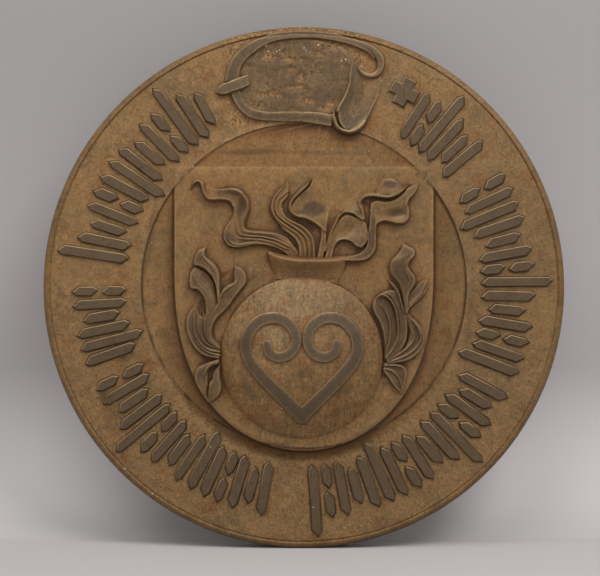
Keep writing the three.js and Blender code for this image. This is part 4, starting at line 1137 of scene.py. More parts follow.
def raise_cup(height, x, y):
    """Flared collar between the ball and the flames, which leans out to a thin bright lip."""
    near = np.nonzero((np.abs(x - CUP_X) < CUP_MOUTH) & (np.abs(y - CUP_Y) < CUP_MOUTH / 2))[0]
    x, y = x[near], y[near]
    curl = CUP_LIP_CURL * np.abs((x - CUP_X - CUP_LIP_MIDDLE) / CUP_LIP_REACH) ** 3
    lip = CUP_Y + CUP_LIP_UP + curl
    neck = CUP_Y - CUP_NECK_DOWN - CUP_NECK_TILT * (x - CUP_X)
    up = (y - neck) / (lip - neck)
    share = np.clip(up, 0, 1)
    half = CUP_NECK + (CUP_MOUTH - CUP_NECK) * share ** CUP_SIDE_CURVE
    bow = 1 - np.clip(np.abs(x - CUP_X) / half, 0, 1) ** CUP_BOW_CURVE
    flare = (CUP_FOOT_SHARE + (1 - CUP_FOOT_SHARE) * share ** CUP_FLARE_CURVE) * CUP_RISE
    behind = 1 - CUP_BEHIND_LIP * smooth(y - lip, *CUP_LIP_BACK)
    lift = flare * np.sqrt(bow) * behind
    on_cup = (up > CUP_START) & (y < lip + CUP_END) & (np.abs(x - CUP_X) < half)
    lift = np.where(on_cup, lift, CUP_OFF) - CUP_FALL * np.maximum(y - lip - CUP_FALL_FROM, 0)
    height[near] = soft_max(height[near], shield_face(y) + lift, CUP_BLEND)


def volute_path(side):
    points = [(BALL_X, VOLUTE_FOOT_Y)]
    for turn in range(VOLUTE_POINTS + 1):
        t = turn / VOLUTE_POINTS
        angle = math.radians(VOLUTE_START_ANGLE + VOLUTE_SWEEP * t)
        radius = VOLUTE_RADIUS + (VOLUTE_EYE - VOLUTE_RADIUS) * t
        across = VOLUTE_X + radius * math.cos(angle)
        points.append((BALL_X + side * across, VOLUTE_Y + radius * math.sin(angle)))
    return points


def raise_volute(height, x, y, side):
    """A flat-topped band on the ball, which narrows towards the eye that it curls in round."""
    near, way, across = along_curve(x, y, volute_path(side), VOLUTE_WIDTH / 2 + 1.0)
    taper = VOLUTE_END_WIDTH - VOLUTE_WIDTH
    half = (VOLUTE_WIDTH + taper * way) / 2
    top = np.clip((1 - np.abs(across / half)) * VOLUTE_SIDE, 0, 1)
    lift = (VOLUTE_RISE + VOLUTE_BLEND) * top - VOLUTE_BLEND
    height[near] = soft_max(height[near], ball_face(x[near], y[near]) + lift, VOLUTE_BLEND)


def hammered(x, y):
    """Dimples beaten into the ground of the cartouche, and the round dent in its middle."""
    rng = np.random.default_rng(DENT_SEED)
    dent = np.zeros_like(x)
    for _ in range(DENTS):
        cx = CARTOUCHE_X + rng.uniform(-DENT_SPREAD, DENT_SPREAD) * CARTOUCHE_HALF_WIDTH
        cy = CARTOUCHE_Y + rng.uniform(-DENT_SPREAD, DENT_SPREAD) * CARTOUCHE_HALF_HEIGHT
        size = rng.uniform(*DENT_SIZE)
        deep = rng.uniform(*DENT_DEPTH)
        reach = ((x - cx) / rng.uniform(*DENT_STRETCH)) ** 2 + (y - cy) ** 2
        dent -= deep * np.exp(-DENT_STEEPNESS * reach / size ** 2)
    middle = ((x - ROUND_DENT_X) ** 2 + (y - ROUND_DENT_Y) ** 2) / ROUND_DENT_RADIUS ** 2
    lip = np.exp(-ROUND_DENT_LIP_STEEPNESS * (np.sqrt(middle) - ROUND_DENT_LIP_OUT) ** 2)
    dent += -ROUND_DENT_DEPTH * np.exp(-middle) + ROUND_DENT_LIP * lip
    across = (x - CARTOUCHE_X) / CARTOUCHE_HALF_WIDTH
    up = (y - CARTOUCHE_Y) / CARTOUCHE_HALF_HEIGHT
    return (dent + BEATEN_RISE) * smooth(1 - across ** 2 - up ** 4, 0, BEATEN_EDGE)


def raise_cartouche(height, x, y):
    across = np.abs(x - CARTOUCHE_X) < CARTOUCHE_HALF_WIDTH
    near = np.nonzero(across & (np.abs(y - CARTOUCHE_Y) < CARTOUCHE_HALF_HEIGHT))[0]
    height[near] += hammered(x[near], y[near])


def carved_on(y):
    """The plain surface under the carving: the shield's face, or the ring field above it."""
    return np.where(y > RING_CARVING_FROM, FIELD, shield_face(y))


def face_height(x, y, lift):
    """Height of the whole relief, without the strokes of the inscription."""
    height = ground_height(x, y)
    raise_cartouche(height, x, y)
    leaves = raster_value(lift, x, y, CARVING_LEFT, CARVING_FOOT, CARVING_STEP, NO_LIFT)
    carved = np.nonzero(leaves > 0)[0]
    height[carved] = soft_max(height[carved], (carved_on(y) + leaves)[carved], LEAF_BLEND)
    raise_cup(height, x, y)
    for side in (-1, 1):
        raise_volute(height, x, y, side)
    return height


# Meshes


def mesh_of(name, points, *faces):
    """A mesh from face-frame points in millimetres and arrays of faces with one size each."""
    mesh = bpy.data.meshes.new(name)
    stood = np.stack([points[:, 0], -points[:, 2], points[:, 1]], axis=1) * MM
    sizes = np.concatenate([np.full(len(group), group.shape[1]) for group in faces])
    corners = np.concatenate([group.ravel() for group in faces])
    mesh.vertices.add(len(points))
    mesh.vertices.foreach_set("co", stood.astype(np.float32).ravel())
    mesh.loops.add(len(corners))
    mesh.loops.foreach_set("vertex_index", corners.astype(np.int32))
    mesh.polygons.add(len(sizes))
    mesh.polygons.foreach_set("loop_start", (np.cumsum(sizes) - sizes).astype(np.int32))
    mesh.update(calc_edges=True)
    return mesh


def new_object(name, mesh):
    thing = bpy.data.objects.new(name, mesh)
    bpy.context.scene.collection.objects.link(thing)
    return thing


def plain_mesh(thing):
    """The object's mesh as its modifiers leave it."""
    bpy.context.view_layer.update()
    return bpy.data.meshes.new_from_object(
        thing.evaluated_get(bpy.context.evaluated_depsgraph_get())
    )


def triangles(mesh):
    sizes = np.empty(len(mesh.polygons), np.int32)
    mesh.polygons.foreach_get("loop_total", sizes)
    return int((sizes - 2).sum())


def disc_grid(cells):
    """A square grid drawn out to a disc, so that its border is the rim."""
    step = np.linspace(-1, 1, cells + 1)
    a, b = np.meshgrid(step, step)
    flatter = np.abs(a) > np.abs(b)
    reach = np.where(flatter, a, b)
    other = np.where(flatter, b, a)
    share = np.divide(other, reach, out=np.zeros_like(a), where=reach != 0)
    turn = np.where(flatter, share, 2 - share) * math.pi / 4
    return DISC_RADIUS * reach * np.cos(turn), DISC_RADIUS * reach * np.sin(turn)


def plate_mesh(lift):
    """The relief as one closed skin: face, side wall and flat back."""
    x, y = disc_grid(GRID_CELLS)
    index = np.arange(x.size).reshape(x.shape)
    x, y = x.ravel(), y.ravel()
    points = np.stack([x, y, face_height(x, y, lift)], axis=1)
    face = np.stack([index[:-1, :-1], index[:-1, 1:], index[1:, 1:], index[1:, :-1]], axis=-1)
    border = np.concatenate([index[0, :-1], index[:-1, -1], index[-1, :0:-1], index[:0:-1, 0]])
    quads = [face.reshape(-1, 4)]
    rings = [
        (DISC_RADIUS, RIM_SHOULDER / 2),
        (DISC_RADIUS, BACK_CHAMFER),
        (DISC_RADIUS - BACK_CHAMFER, 0.0),
    ]
    upper = border
    for radius, level in rings:
        shrink = radius / DISC_RADIUS
        ring = np.stack([
            x[border] * shrink, y[border] * shrink, np.full(len(border), level),
        ], axis=1)
        lower = np.arange(len(border)) + len(points)
        points = np.vstack([points, ring])
        quads.append(np.stack([upper, lower, np.roll(lower, -1), np.roll(upper, -1)], axis=1))
        upper = lower
    middle = len(points)
    points = np.vstack([points, [[0.0, 0.0, 0.0]]])
    back = np.stack([np.full(len(upper), middle), np.roll(upper, -1), upper], axis=1)
    return mesh_of("plate", points, np.vstack(quads), back)


def thinned(mesh, kept):
    """The same skin with the triangles taken out where it is flat."""
    full = new_object("full_plate", mesh)
    thin = full.modifiers.new("thin", "DECIMATE")
    thin.ratio = min(1.0, kept / triangles(mesh))
    result = plain_mesh(full)
    bpy.data.objects.remove(full)
    return result


def offset_outline(outline, distance):
    """The corners of a counter-clockwise outline moved outwards, square to its sides."""
    points = np.array(outline, float)
    before = points - np.roll(points, 1, axis=0)
    after = np.roll(points, -1, axis=0) - points
    normals = []
    for way in (before, after):
        way /= np.linalg.norm(way, axis=1)[:, None]
        normals.append(np.stack([way[:, 1], -way[:, 0]], axis=1))
    total = normals[0] + normals[1]
    return points + total * distance / (1 + (normals[0] * normals[1]).sum(axis=1))[:, None]


def raised_slab(outline):
    """A flat-topped mark with chamfered edges and a thin scraped skirt, as points and faces."""
    layers = [
        (STROKE_SKIRT, -SINK),
        (STROKE_SKIRT, STROKE_SKIRT_RISE),
        (STROKE_FOOT, STROKE_SKIRT_RISE + STROKE_FOOT_RISE),
        (-STROKE_BATTER, STROKE_RISE - STROKE_CHAMFER),
        (-STROKE_CHAMFER, STROKE_RISE),
    ]
    count = len(outline)
    points = []
    for out, up in layers:
        ring = offset_outline(outline, out)
        points.append(np.column_stack([ring, np.full(count, FIELD + up)]))
    sides = []
    around = np.arange(count)
    for layer in range(len(layers) - 1):
        low = around + layer * count
        high = low + count
        sides.append(np.stack([low, np.roll(low, -1), np.roll(high, -1), high], axis=1))
    ends = np.stack([around[::-1], around + (len(layers) - 1) * count])
    return np.vstack(points), np.vstack(sides), ends


def stroke_blank():
    """One short stroke of the inscription, its two ends marked so that it can be drawn out."""
    half = STROKE_WIDTH / 2
    cut = STROKE_WIDTH * STROKE_SLANT
    end = STROKE_BLANK / 2
    outline = [
        (half, end - cut), (-half * STROKE_TIP, end + cut), (-half, end - cut * STROKE_CORNER),
        (-half, -end + cut), (half * STROKE_TIP, -end - cut), (half, -end + cut * STROKE_CORNER),
    ]
    points, sides, ends = raised_slab(outline)
    blank = new_object("stroke_blank", mesh_of("stroke_blank", points, sides, ends))
    mark = blank.data.attributes.new("end", "FLOAT", "POINT")
    mark.data.foreach_set("value", np.sign(points[:, 1]).astype(np.float32))
    return blank


class Wiring:
    """Adds nodes to a tree and joins them up."""

    def __init__(self, tree):
        self.tree = tree

    def add(self, kind, inputs=(), **settings):
        node = self.tree.nodes.new(kind)
        for name, value in settings.items():
            setattr(node, name, value)
        for name, value in dict(inputs).items():
            self.feed(node.inputs[name], value)
        return node

    def feed(self, socket, value):
        if isinstance(value, bpy.types.NodeSocket):
            self.tree.links.new(value, socket)
        else:
            socket.default_value = value

    def math(self, operation, *values, clamp=False):
        node = self.add("ShaderNodeMath", operation=operation, use_clamp=clamp)
        for socket, value in zip(node.inputs, values):
            self.feed(socket, value)
        return node.outputs[0]

    def plus(self, a, b):
        return self.math("ADD", a, b)

    def minus(self, a, b):
        return self.math("SUBTRACT", a, b)

    def times(self, a, b, clamp=False):
        return self.math("MULTIPLY", a, b, clamp=clamp)

    def most(self, a, b):
        return self.math("MAXIMUM", a, b)

    def xyz(self, x=0.0, y=0.0, z=0.0):
        return self.add("ShaderNodeCombineXYZ", {"X": x, "Y": y, "Z": z}).outputs[0]

    def parts(self, vector):
        return self.add("ShaderNodeSeparateXYZ", {"Vector": vector}).outputs

    def grey(self, value):
        return self.add("ShaderNodeCombineColor", {
            "Red": value, "Green": value, "Blue": value,
        }).outputs[0]

    def vector(self, operation, *values):
        node = self.add("ShaderNodeVectorMath", operation=operation)
        for socket, value in zip(node.inputs, values):
            self.feed(socket, value)
        return node.outputs[
            "Value" if operation in ("LENGTH", "DISTANCE", "DOT_PRODUCT") else "Vector"
        ]

    def scaled(self, vector, scale):
        node = self.add("ShaderNodeVectorMath", {"Scale": scale}, operation="SCALE")
        self.feed(node.inputs[0], vector)
        return node.outputs["Vector"]

    def remap(self, value, low, high, to_low=0.0, to_high=1.0):
        node = self.add("ShaderNodeMapRange", interpolation_type="SMOOTHSTEP")
        names = ("Value", "From Min", "From Max", "To Min", "To Max")
        for name, part in zip(names, (value, low, high, to_low, to_high)):
            self.feed(node.inputs[name], part)
        return node.outputs["Result"]

    def mix(self, factor, a, b, blend_type="MIX"):
        node = self.add("ShaderNodeMix", data_type="RGBA", blend_type=blend_type)
        for socket, value in ((node.inputs[0], factor), (node.inputs[6], a), (node.inputs[7], b)):
            self.feed(socket, value)
        return node.outputs[2]

    def noise(self, vector, scale, detail=2.0, roughness=0.5, distortion=0.0):
        node = self.add("ShaderNodeTexNoise", {
            "Vector": vector, "Scale": scale, "Detail": detail, "Roughness": roughness,
            "Distortion": distortion,
        })
        return node.outputs["Fac"]


def new_group(name, kind, inputs, outputs):
    """A node group with named sockets, and the wiring, inputs and outputs to fill it with."""
    tree = bpy.data.node_groups.new(name, kind)
    for label, (socket, value) in inputs.items():
        made = tree.interface.new_socket(label, in_out="INPUT", socket_type="NodeSocket" + socket)
        if value is not None:
            made.default_value = value
    for label, socket in outputs.items():
        tree.interface.new_socket(label, in_out="OUTPUT", socket_type="NodeSocket" + socket)
    wires = Wiring(tree)
    return wires, wires.add("NodeGroupInput").outputs, wires.add("NodeGroupOutput").inputs


def stroke_row_tree():
    """Lays one word's strokes around the ring, each drawn out to its own inner and outer radius."""
    wires, given, result = new_group("stroke row", "GeometryNodeTree", {
        "Blank": ("Object", None),
        "First Angle": ("Float", 0.0),
        "Last Angle": ("Float", 1.0),
        "Count": ("Int", 2),
        "First Kind": ("Int", 0),
        "Width Scatter": ("Float", STROKE_SCATTER),
        "Tilt": ("Float", math.radians(STROKE_TILT)),
        "Seed": ("Int", STROKE_SEED),
        "Material": ("Material", None),
    }, {"Geometry": "Geometry"})
    number = wires.add("GeometryNodeInputIndex").outputs[0]
    last = wires.minus(given["Count"], 1.0)
    share = wires.math("DIVIDE", number, last)
    span = wires.minus(given["Last Angle"], given["First Angle"])
    tilt = wires.add("FunctionNodeRandomValue", {"Seed": given["Seed"]}, data_type="FLOAT")
    wires.feed(tilt.inputs[2], wires.times(given["Tilt"], -1.0))
    wires.feed(tilt.inputs[3], given["Tilt"])
    place = wires.plus(wires.times(share, span), given["First Angle"])
    turn = wires.plus(place, tilt.outputs[1])
    width = wires.add("FunctionNodeRandomValue", {"Seed": given["Seed"]}, data_type="FLOAT")
    wires.feed(width.inputs[2], wires.minus(1.0, given["Width Scatter"]))
    wires.feed(width.inputs[3], wires.plus(1.0, given["Width Scatter"]))
    kind = wires.plus(number, given["First Kind"])
    kind = wires.math("FLOORED_MODULO", kind, float(len(STROKE_ORDER)))
    outward = wires.xyz(x=wires.math("COSINE", place), z=wires.math("SINE", place))
    along = wires.xyz(x=wires.math("COSINE", turn), z=wires.math("SINE", turn))
    upright = wires.xyz(y=wires.minus(math.pi / 2, turn))
    blank = wires.add("GeometryNodeObjectInfo", {"Object": given["Blank"]}).outputs["Geometry"]
    rows = []
    for part in (0, 1):
        spans = [STROKE_KINDS[name][part] for name in STROKE_ORDER]
        inner, outer = (
            pick_number(wires, kind, [span[side] if span else 0.0 for span in spans])
            for side in (0, 1)
        )
        middle = wires.times(wires.plus(inner, outer), MM / 2)
        reach = wires.times(wires.minus(outer, inner), MM / 2)
        reach = wires.minus(reach, STROKE_BLANK * MM / 2)
        points = wires.add("GeometryNodePoints", {
            "Count": given["Count"], "Position": wires.scaled(outward, middle),
        }).outputs[0]
        stored = wires.add("GeometryNodeStoreNamedAttribute", {
            "Geometry": points, "Name": "stretch", "Value": wires.scaled(along, reach),
        }, data_type="FLOAT_VECTOR", domain="POINT").outputs[0]
        scatter = wires.xyz(width.outputs[1], 1.0, 1.0)
        laid = wires.add("GeometryNodeInstanceOnPoints", {
            "Points": stored, "Selection": wires.math("GREATER_THAN", outer, 0.0),
            "Instance": blank, "Rotation": upright, "Scale": scatter,
        }).outputs[0]
        rows.append(laid)
    both = wires.add("GeometryNodeJoinGeometry")
    for row in rows:
        wires.tree.links.new(row, both.inputs[0])
    solid = wires.add("GeometryNodeRealizeInstances", {"Geometry": both.outputs[0]}).outputs[0]
    stored = wires.add("GeometryNodeInputNamedAttribute", {
        "Name": "stretch",
    }, data_type="FLOAT_VECTOR")
    end = wires.add("GeometryNodeInputNamedAttribute", {"Name": "end"}, data_type="FLOAT")
    drawn = wires.add("GeometryNodeSetPosition", {
        "Geometry": solid, "Offset": wires.scaled(stored.outputs[0], end.outputs[0]),
    }).outputs[0]
    realized = wires.add("GeometryNodeRealizeInstances", {"Geometry": drawn}).outputs[0]
    finished = wires.add("GeometryNodeSetMaterial", {
        "Geometry": realized, "Material": given["Material"],
    }).outputs[0]
    wires.feed(result["Geometry"], finished)
    return wires.tree


def pick_number(wires, index, values):
    """One of a row of numbers, by a whole-number index."""
    node = wires.add("GeometryNodeIndexSwitch", data_type="FLOAT")
    while len(node.index_switch_items) < len(values):
        node.index_switch_items.new()
    wires.feed(node.inputs["Index"], wires.math("ROUND", index))
    for place, value in enumerate(values):
        node.inputs[str(place)].default_value = value
    return node.outputs[0]


def settings_of(modifier, values):
    """Sets a geometry tree's named inputs on its modifier."""
    keys = {
        item.name: item.identifier for item in modifier.node_group.interface.items_tree
        if item.in_out == "INPUT"
    }
    for name, value in values.items():
        modifier[keys[name]] = value


def strokes_mesh(material):
    """All the words' strokes as one plain mesh, with the cross that opens them."""
    tree = stroke_row_tree()
    blank = stroke_blank()
    pitch = math.degrees(STROKE_PITCH / STROKE_MIDDLE)
    whole = bmesh.new()
    laid = 0
    for first, last in WORD_GROUPS:
        count = round((first - last) / pitch) + 1
        row = new_object("stroke_row", bpy.data.meshes.new("stroke_row"))
        modifier = row.modifiers.new("strokes", "NODES")
        modifier.node_group = tree
        settings_of(modifier, {
            "Blank": blank, "First Angle": math.radians(first), "Last Angle": math.radians(last),
            "Count": count, "First Kind": laid, "Seed": STROKE_SEED + laid, "Material": material,
        })
        whole.from_mesh(plain_mesh(row))
        bpy.data.objects.remove(row)
        laid += count
    whole.from_mesh(cross_mesh())
    bpy.data.objects.remove(blank)
    mesh = bpy.data.meshes.new("strokes")
    whole.to_mesh(mesh)
    whole.free()
    return mesh


def cross_mesh():
    """Four square arms, each with two corners at its end and one where it meets the next."""
    outline = []
    for quarter in range(4):
        turn = math.radians(CROSS_TURN + 90 * quarter)
        for x, y in ((CROSS_ARM, CROSS_ARM), (CROSS_ARM, CROSS_REACH), (-CROSS_ARM, CROSS_REACH)):
            outline.append((
                CROSS_X + x * math.cos(turn) - y * math.sin(turn),
                CROSS_Y + x * math.sin(turn) + y * math.cos(turn),
            ))
    points, sides, ends = raised_slab(outline)
    return mesh_of("cross", points, sides, ends)


def united(plate, strokes):
    """The plate with its strokes grown out of it, as one closed skin."""
    body = new_object("plate", plate)
    tool = new_object("strokes", strokes)
    join = body.modifiers.new("join", "BOOLEAN")
    join.operation = "UNION"
    join.solver = "MANIFOLD"
    join.object = tool
    whole = plain_mesh(body)
    bpy.data.objects.remove(body)
    bpy.data.objects.remove(tool)
    return whole


# Masks for the paint, held on the mesh's points


def blurred(raster, reach):
    """Average over a square neighbourhood, taken a few times for a round one."""
    for _ in range(MASK_PASSES):
        for axis in (0, 1):
            margin = [(0, 0), (0, 0)]
            margin[axis] = (reach + 1, reach)
            total = np.cumsum(np.pad(raster, margin, mode="edge"), axis=axis)
            size = raster.shape[axis]
            far = np.take(total, np.arange(size) + 2 * reach + 1, axis=axis)
            near = np.take(total, np.arange(size), axis=axis)
            raster = (far - near) / (2 * reach + 1)
    return raster


def mask_rasters(lift):
    """How hollow and how proud the relief is at each place, as rasters over the whole face."""
    span = np.arange(-DISC_RADIUS, DISC_RADIUS + MASK_STEP / 2, MASK_STEP)
    x, y = np.meshgrid(span, span)
    height = face_height(x.ravel(), y.ravel(), lift).reshape(x.shape)
    outside = np.hypot(x, y) > DISC_RADIUS - RIM_WIDTH - GROOVE_WIDTH
    height[outside] = FIELD
    fine = blurred(height, round(MASK_FINE / MASK_STEP))
    broad = blurred(height, round(MASK_BROAD / MASK_STEP))
    hollow = np.clip((fine - height) / HOLLOW_FINE, 0, 1) * HOLLOW_SHARE
    hollow = hollow + np.clip((broad - height) / HOLLOW_BROAD, 0, 1) * HOLLOW_SHARE
    crest = np.clip((height - fine) / CREST_HEIGHT, 0, 1)
    return np.clip(hollow, 0, 1), crest


def wash_patches(x, y):
    """Dark wash left here and there on the flames, each patch a soft ellipse."""
    total = np.zeros_like(x)
    for cx, cy, across, up, strength in WASH_PATCHES:
        reach = np.hypot((x - cx) / across, (y - cy) / up)
        total = np.maximum(total, strength * (1 - smooth(reach, *WASH_PATCH_EDGE)))
    return total


def wash_at(x, y, above_ground, lift):
    """How thick the dark wash lies: full on volutes and bands, thinner on the flames."""
    leaves = raster_value(lift, x, y, CARVING_LEFT, CARVING_FOOT, CARVING_STEP, NO_LIFT)
    beside_ball = (np.abs(x) > SIDE_FLAMES_FROM) & (y < SIDE_FLAMES_BELOW)
    strength = np.where(beside_ball, WASH_ON_SIDE_FLAMES, WASH_ON_CUP_FLAMES)
    flames = smooth(leaves, *FLAME_WASH) * strength
    patches = wash_patches(x, y) * smooth(leaves, NO_LIFT, 1.0)
    beaten = WASH_ON_CARTOUCHE_GROUND * smooth(above_ground, *BEATEN_WASH)
    band = (smooth(above_ground, *BAND_WASH) + beaten) * (y > CARTOUCHE_FROM)
    on_ball = np.hypot(x - BALL_X, y - BALL_Y) < VOLUTE_REACH
    volute = smooth(above_ground, *VOLUTE_WASH) * on_ball * (leaves < 0)
    return np.clip(np.maximum(flames, patches) + band + volute, 0, 1)


def recess_line(x, y):
    """Dirt and painted shade along the foot of the step around the recess."""
    away = np.abs(np.hypot(x, y - RECESS_Y) - (RECESS_RADIUS - RECESS_DIRT_AND_SHADE_IN))
    return RECESS_DIRT_AND_SHADE * (1 - smooth(away, *RECESS_DIRT_AND_SHADE_SPREAD)) * (y < SHIELD_TOP)


def hold_masks(mesh, lift):
    """Works the four masks out at every point of the mesh and keeps them there."""
    place = np.empty(len(mesh.vertices) * 3, np.float32)
    mesh.vertices.foreach_get("co", place)
    place = place.reshape(-1, 3).astype(float) / MM
    x, y, height = place[:, 0], place[:, 2], -place[:, 1]
    on_face = height > FACE_FROM
    bare = face_height(x, y, lift)
    above_bare = np.where(on_face, height - bare, 0)
    skirt = smooth(above_bare, *SKIRT_FROM) * (1 - smooth(above_bare, *SKIRT_TO))
    wash = np.maximum(
        smooth(above_bare, *STROKE_WASH), wash_at(x, y, bare - ground_height(x, y), lift),
    )
    corner = -DISC_RADIUS
    hollow, crest = (
        raster_value(raster, x, y, corner, corner, MASK_STEP, 0) for raster in mask_rasters(lift)
    )
    values = {
        "wash": np.where(on_face, wash, 0),
        "seam": np.maximum(skirt, recess_line(x, y)),
        "hollow": np.where(on_face, hollow, 0),
        "crest": np.where(on_face, crest, 0),
    }
    for name, value in values.items():
        held = mesh.attributes.new(name, "FLOAT", "POINT")
        held.data.foreach_set("value", value.astype(np.float32))


# Paint


def shade(color):
    """A colour given in the usual 0 to 255 steps, as the shader's linear values."""
    parts = [step / 255 for step in color]
    linear = [
        part / 12.92 if part <= 0.04045 else ((part + 0.055) / 1.055) ** 2.4 for part in parts
    ]
    return (*linear, 1.0)


def placed(wires, group, inputs):
    """Puts a node group in a tree and feeds it, and gives its outputs."""
    node = wires.add("ShaderNodeGroup", node_tree=group)
    for name, value in inputs.items():
        wires.feed(node.inputs[name], value)
    return node.outputs


def ring_coordinates():
    """Unrolls the round field: across is the way round in millimetres, along is the radius."""
    wires, given, result = new_group("ring coordinates", "ShaderNodeTree", {
        "Place": ("Vector", None),
    }, {"Unrolled": "Vector", "Radius": "Float"})
    parts = wires.parts(given["Place"])
    around = wires.times(wires.math("ARCTAN2", parts["Z"], parts["X"]), STROKE_MIDDLE)
    radius = wires.vector("LENGTH", wires.xyz(parts["X"], parts["Z"]))
    wires.feed(result["Unrolled"], wires.xyz(around, radius, parts["Y"]))
    wires.feed(result["Radius"], radius)
    return wires.tree


def brush_streaks():
    """Streaks left by a stiff brush, which run along the second axis of the vector."""
    wires, given, result = new_group("brush streaks", "ShaderNodeTree", {
        "Vector": ("Vector", None),
        "Width": ("Float", 1.5),
        "Length": ("Float", 30.0),
    }, {"Streaks": "Float"})
    across = wires.math("DIVIDE", 1.0, given["Width"])
    along = wires.math("DIVIDE", 1.0, given["Length"])
    stretch = wires.xyz(across, along, STREAK_DEPTH)
    drawn = wires.vector("MULTIPLY", given["Vector"], stretch)
    wires.feed(result["Streaks"], wires.noise(drawn, *STREAK_NOISE))
    return wires.tree


def scratches():
    """Thin scored lines in patches, along the second axis of the vector."""
    wires, given, result = new_group("scratches", "ShaderNodeTree", {
        "Vector": ("Vector", None),
        "Spacing": ("Float", 2.4),
        "Sharpness": ("Float", 0.9),
        "Cover": ("Float", 0.5),
    }, {"Scratches": "Float"})
    wander = wires.noise(given["Vector"], *WANDER_NOISE)
    lean = wires.times(wires.minus(wander, 0.5), SCRATCH_WANDER)
    bent = wires.vector("ADD", given["Vector"], wires.xyz(lean))
    across = wires.math("DIVIDE", 1.0, given["Spacing"])
    stretch = wires.xyz(across, SCRATCH_STRETCH, SCRATCH_STRETCH)
    lines = wires.noise(wires.vector("MULTIPLY", bent, stretch), *SCRATCH_NOISE)
    thin = wires.math("ABSOLUTE", wires.minus(lines, 0.5))
    line = wires.remap(thin, 0.0, wires.times(SCRATCH_WIDTH, given["Sharpness"]), 1.0, 0.0)
    patches = wires.noise(given["Vector"], *SCRATCHED_NOISE)
    low = wires.minus(1.0, given["Cover"])
    where = wires.remap(patches, low, wires.plus(low, SCRATCHED_EDGE))
    wires.feed(result["Scratches"], wires.times(line, where))
    return wires.tree


def smear():
    """A patch of grime, drawn out one way and broken at its edges."""
    wires, given, result = new_group("smear", "ShaderNodeTree", {
        "Place": ("Vector", None),
        "Centre": ("Vector", None),
        "Turn": ("Float", 0.0),
        "Half Length": ("Float", 20.0),
        "Half Width": ("Float", 6.0),
        "Broken": ("Float", 0.5),
    }, {"Mask": "Float"})
    moved = wires.vector("SUBTRACT", given["Place"], given["Centre"])
    turned = wires.add("ShaderNodeVectorRotate", {
        "Vector": moved, "Angle": given["Turn"],
    }, rotation_type="Y_AXIS").outputs[0]
    parts = wires.parts(turned)
    along = wires.math("DIVIDE", parts["X"], given["Half Length"])
    across = wires.math("DIVIDE", parts["Z"], given["Half Width"])
    flat = wires.xyz(along, across)
    ragged = wires.minus(wires.noise(given["Place"], *SMEAR_NOISE), 0.5)
    reach = wires.plus(wires.vector("LENGTH", flat), wires.times(ragged, given["Broken"]))
    wires.feed(result["Mask"], wires.remap(reach, *SMEAR_EDGE, 1.0, 0.0))
    return wires.tree


def patina():
    """Uneven ground coat: olive and ochre in broad patches, rubbed sand and rust in small ones, and
    a fine grain over all of it."""
    wires, given, result = new_group("patina", "ShaderNodeTree", {
        "Place": ("Vector", None),
        "Ochre": ("Color", shade(OCHRE)),
        "Olive": ("Color", shade(OLIVE)),
        "Sand": ("Color", shade(SAND)),
        "Rust": ("Color", shade(RUST)),
        "Streaks": ("Float", 0.5),
        "Grain": ("Float", 0.5),
        "Rough": ("Float", 0.0),
        "Brushed": ("Float", 0.3),
        "Rusty": ("Float", 0.4),
    }, {"Color": "Color", "Patchy": "Float"})
    patches = wires.noise(given["Place"], *PATCH_NOISE)
    spots = wires.noise(given["Place"], *SPOT_NOISE)
    patchy = wires.plus(wires.times(patches, PATCH_SHARE), wires.times(spots, SPOT_SHARE))
    patchy = wires.plus(patchy, wires.times(given["Streaks"], STREAK_SHARE))
    ochre = wires.remap(patchy, *OCHRE_EDGE, OCHRE_LEAST, 1.0)
    color = wires.mix(ochre, given["Olive"], given["Ochre"])
    rusted = wires.remap(wires.noise(given["Place"], *RUST_NOISE), *RUST_EDGE)
    color = wires.mix(wires.times(rusted, given["Rusty"]), color, given["Rust"])
    color = wires.mix(wires.remap(spots, *SAND_EDGE, 0.0, SAND_MOST), color, given["Sand"])
    contrast = wires.plus(GRAIN_CONTRAST, given["Rough"])
    swing = wires.times(wires.minus(given["Grain"], 0.5), contrast)
    brushed = wires.times(wires.minus(given["Streaks"], 0.5), given["Brushed"])
    swing = wires.plus(swing, brushed)
    shading = wires.grey(wires.plus(1.0, swing))
    wires.feed(result["Color"], wires.mix(1.0, color, shading, "MULTIPLY"))
    wires.feed(result["Patchy"], patchy)
    return wires.tree


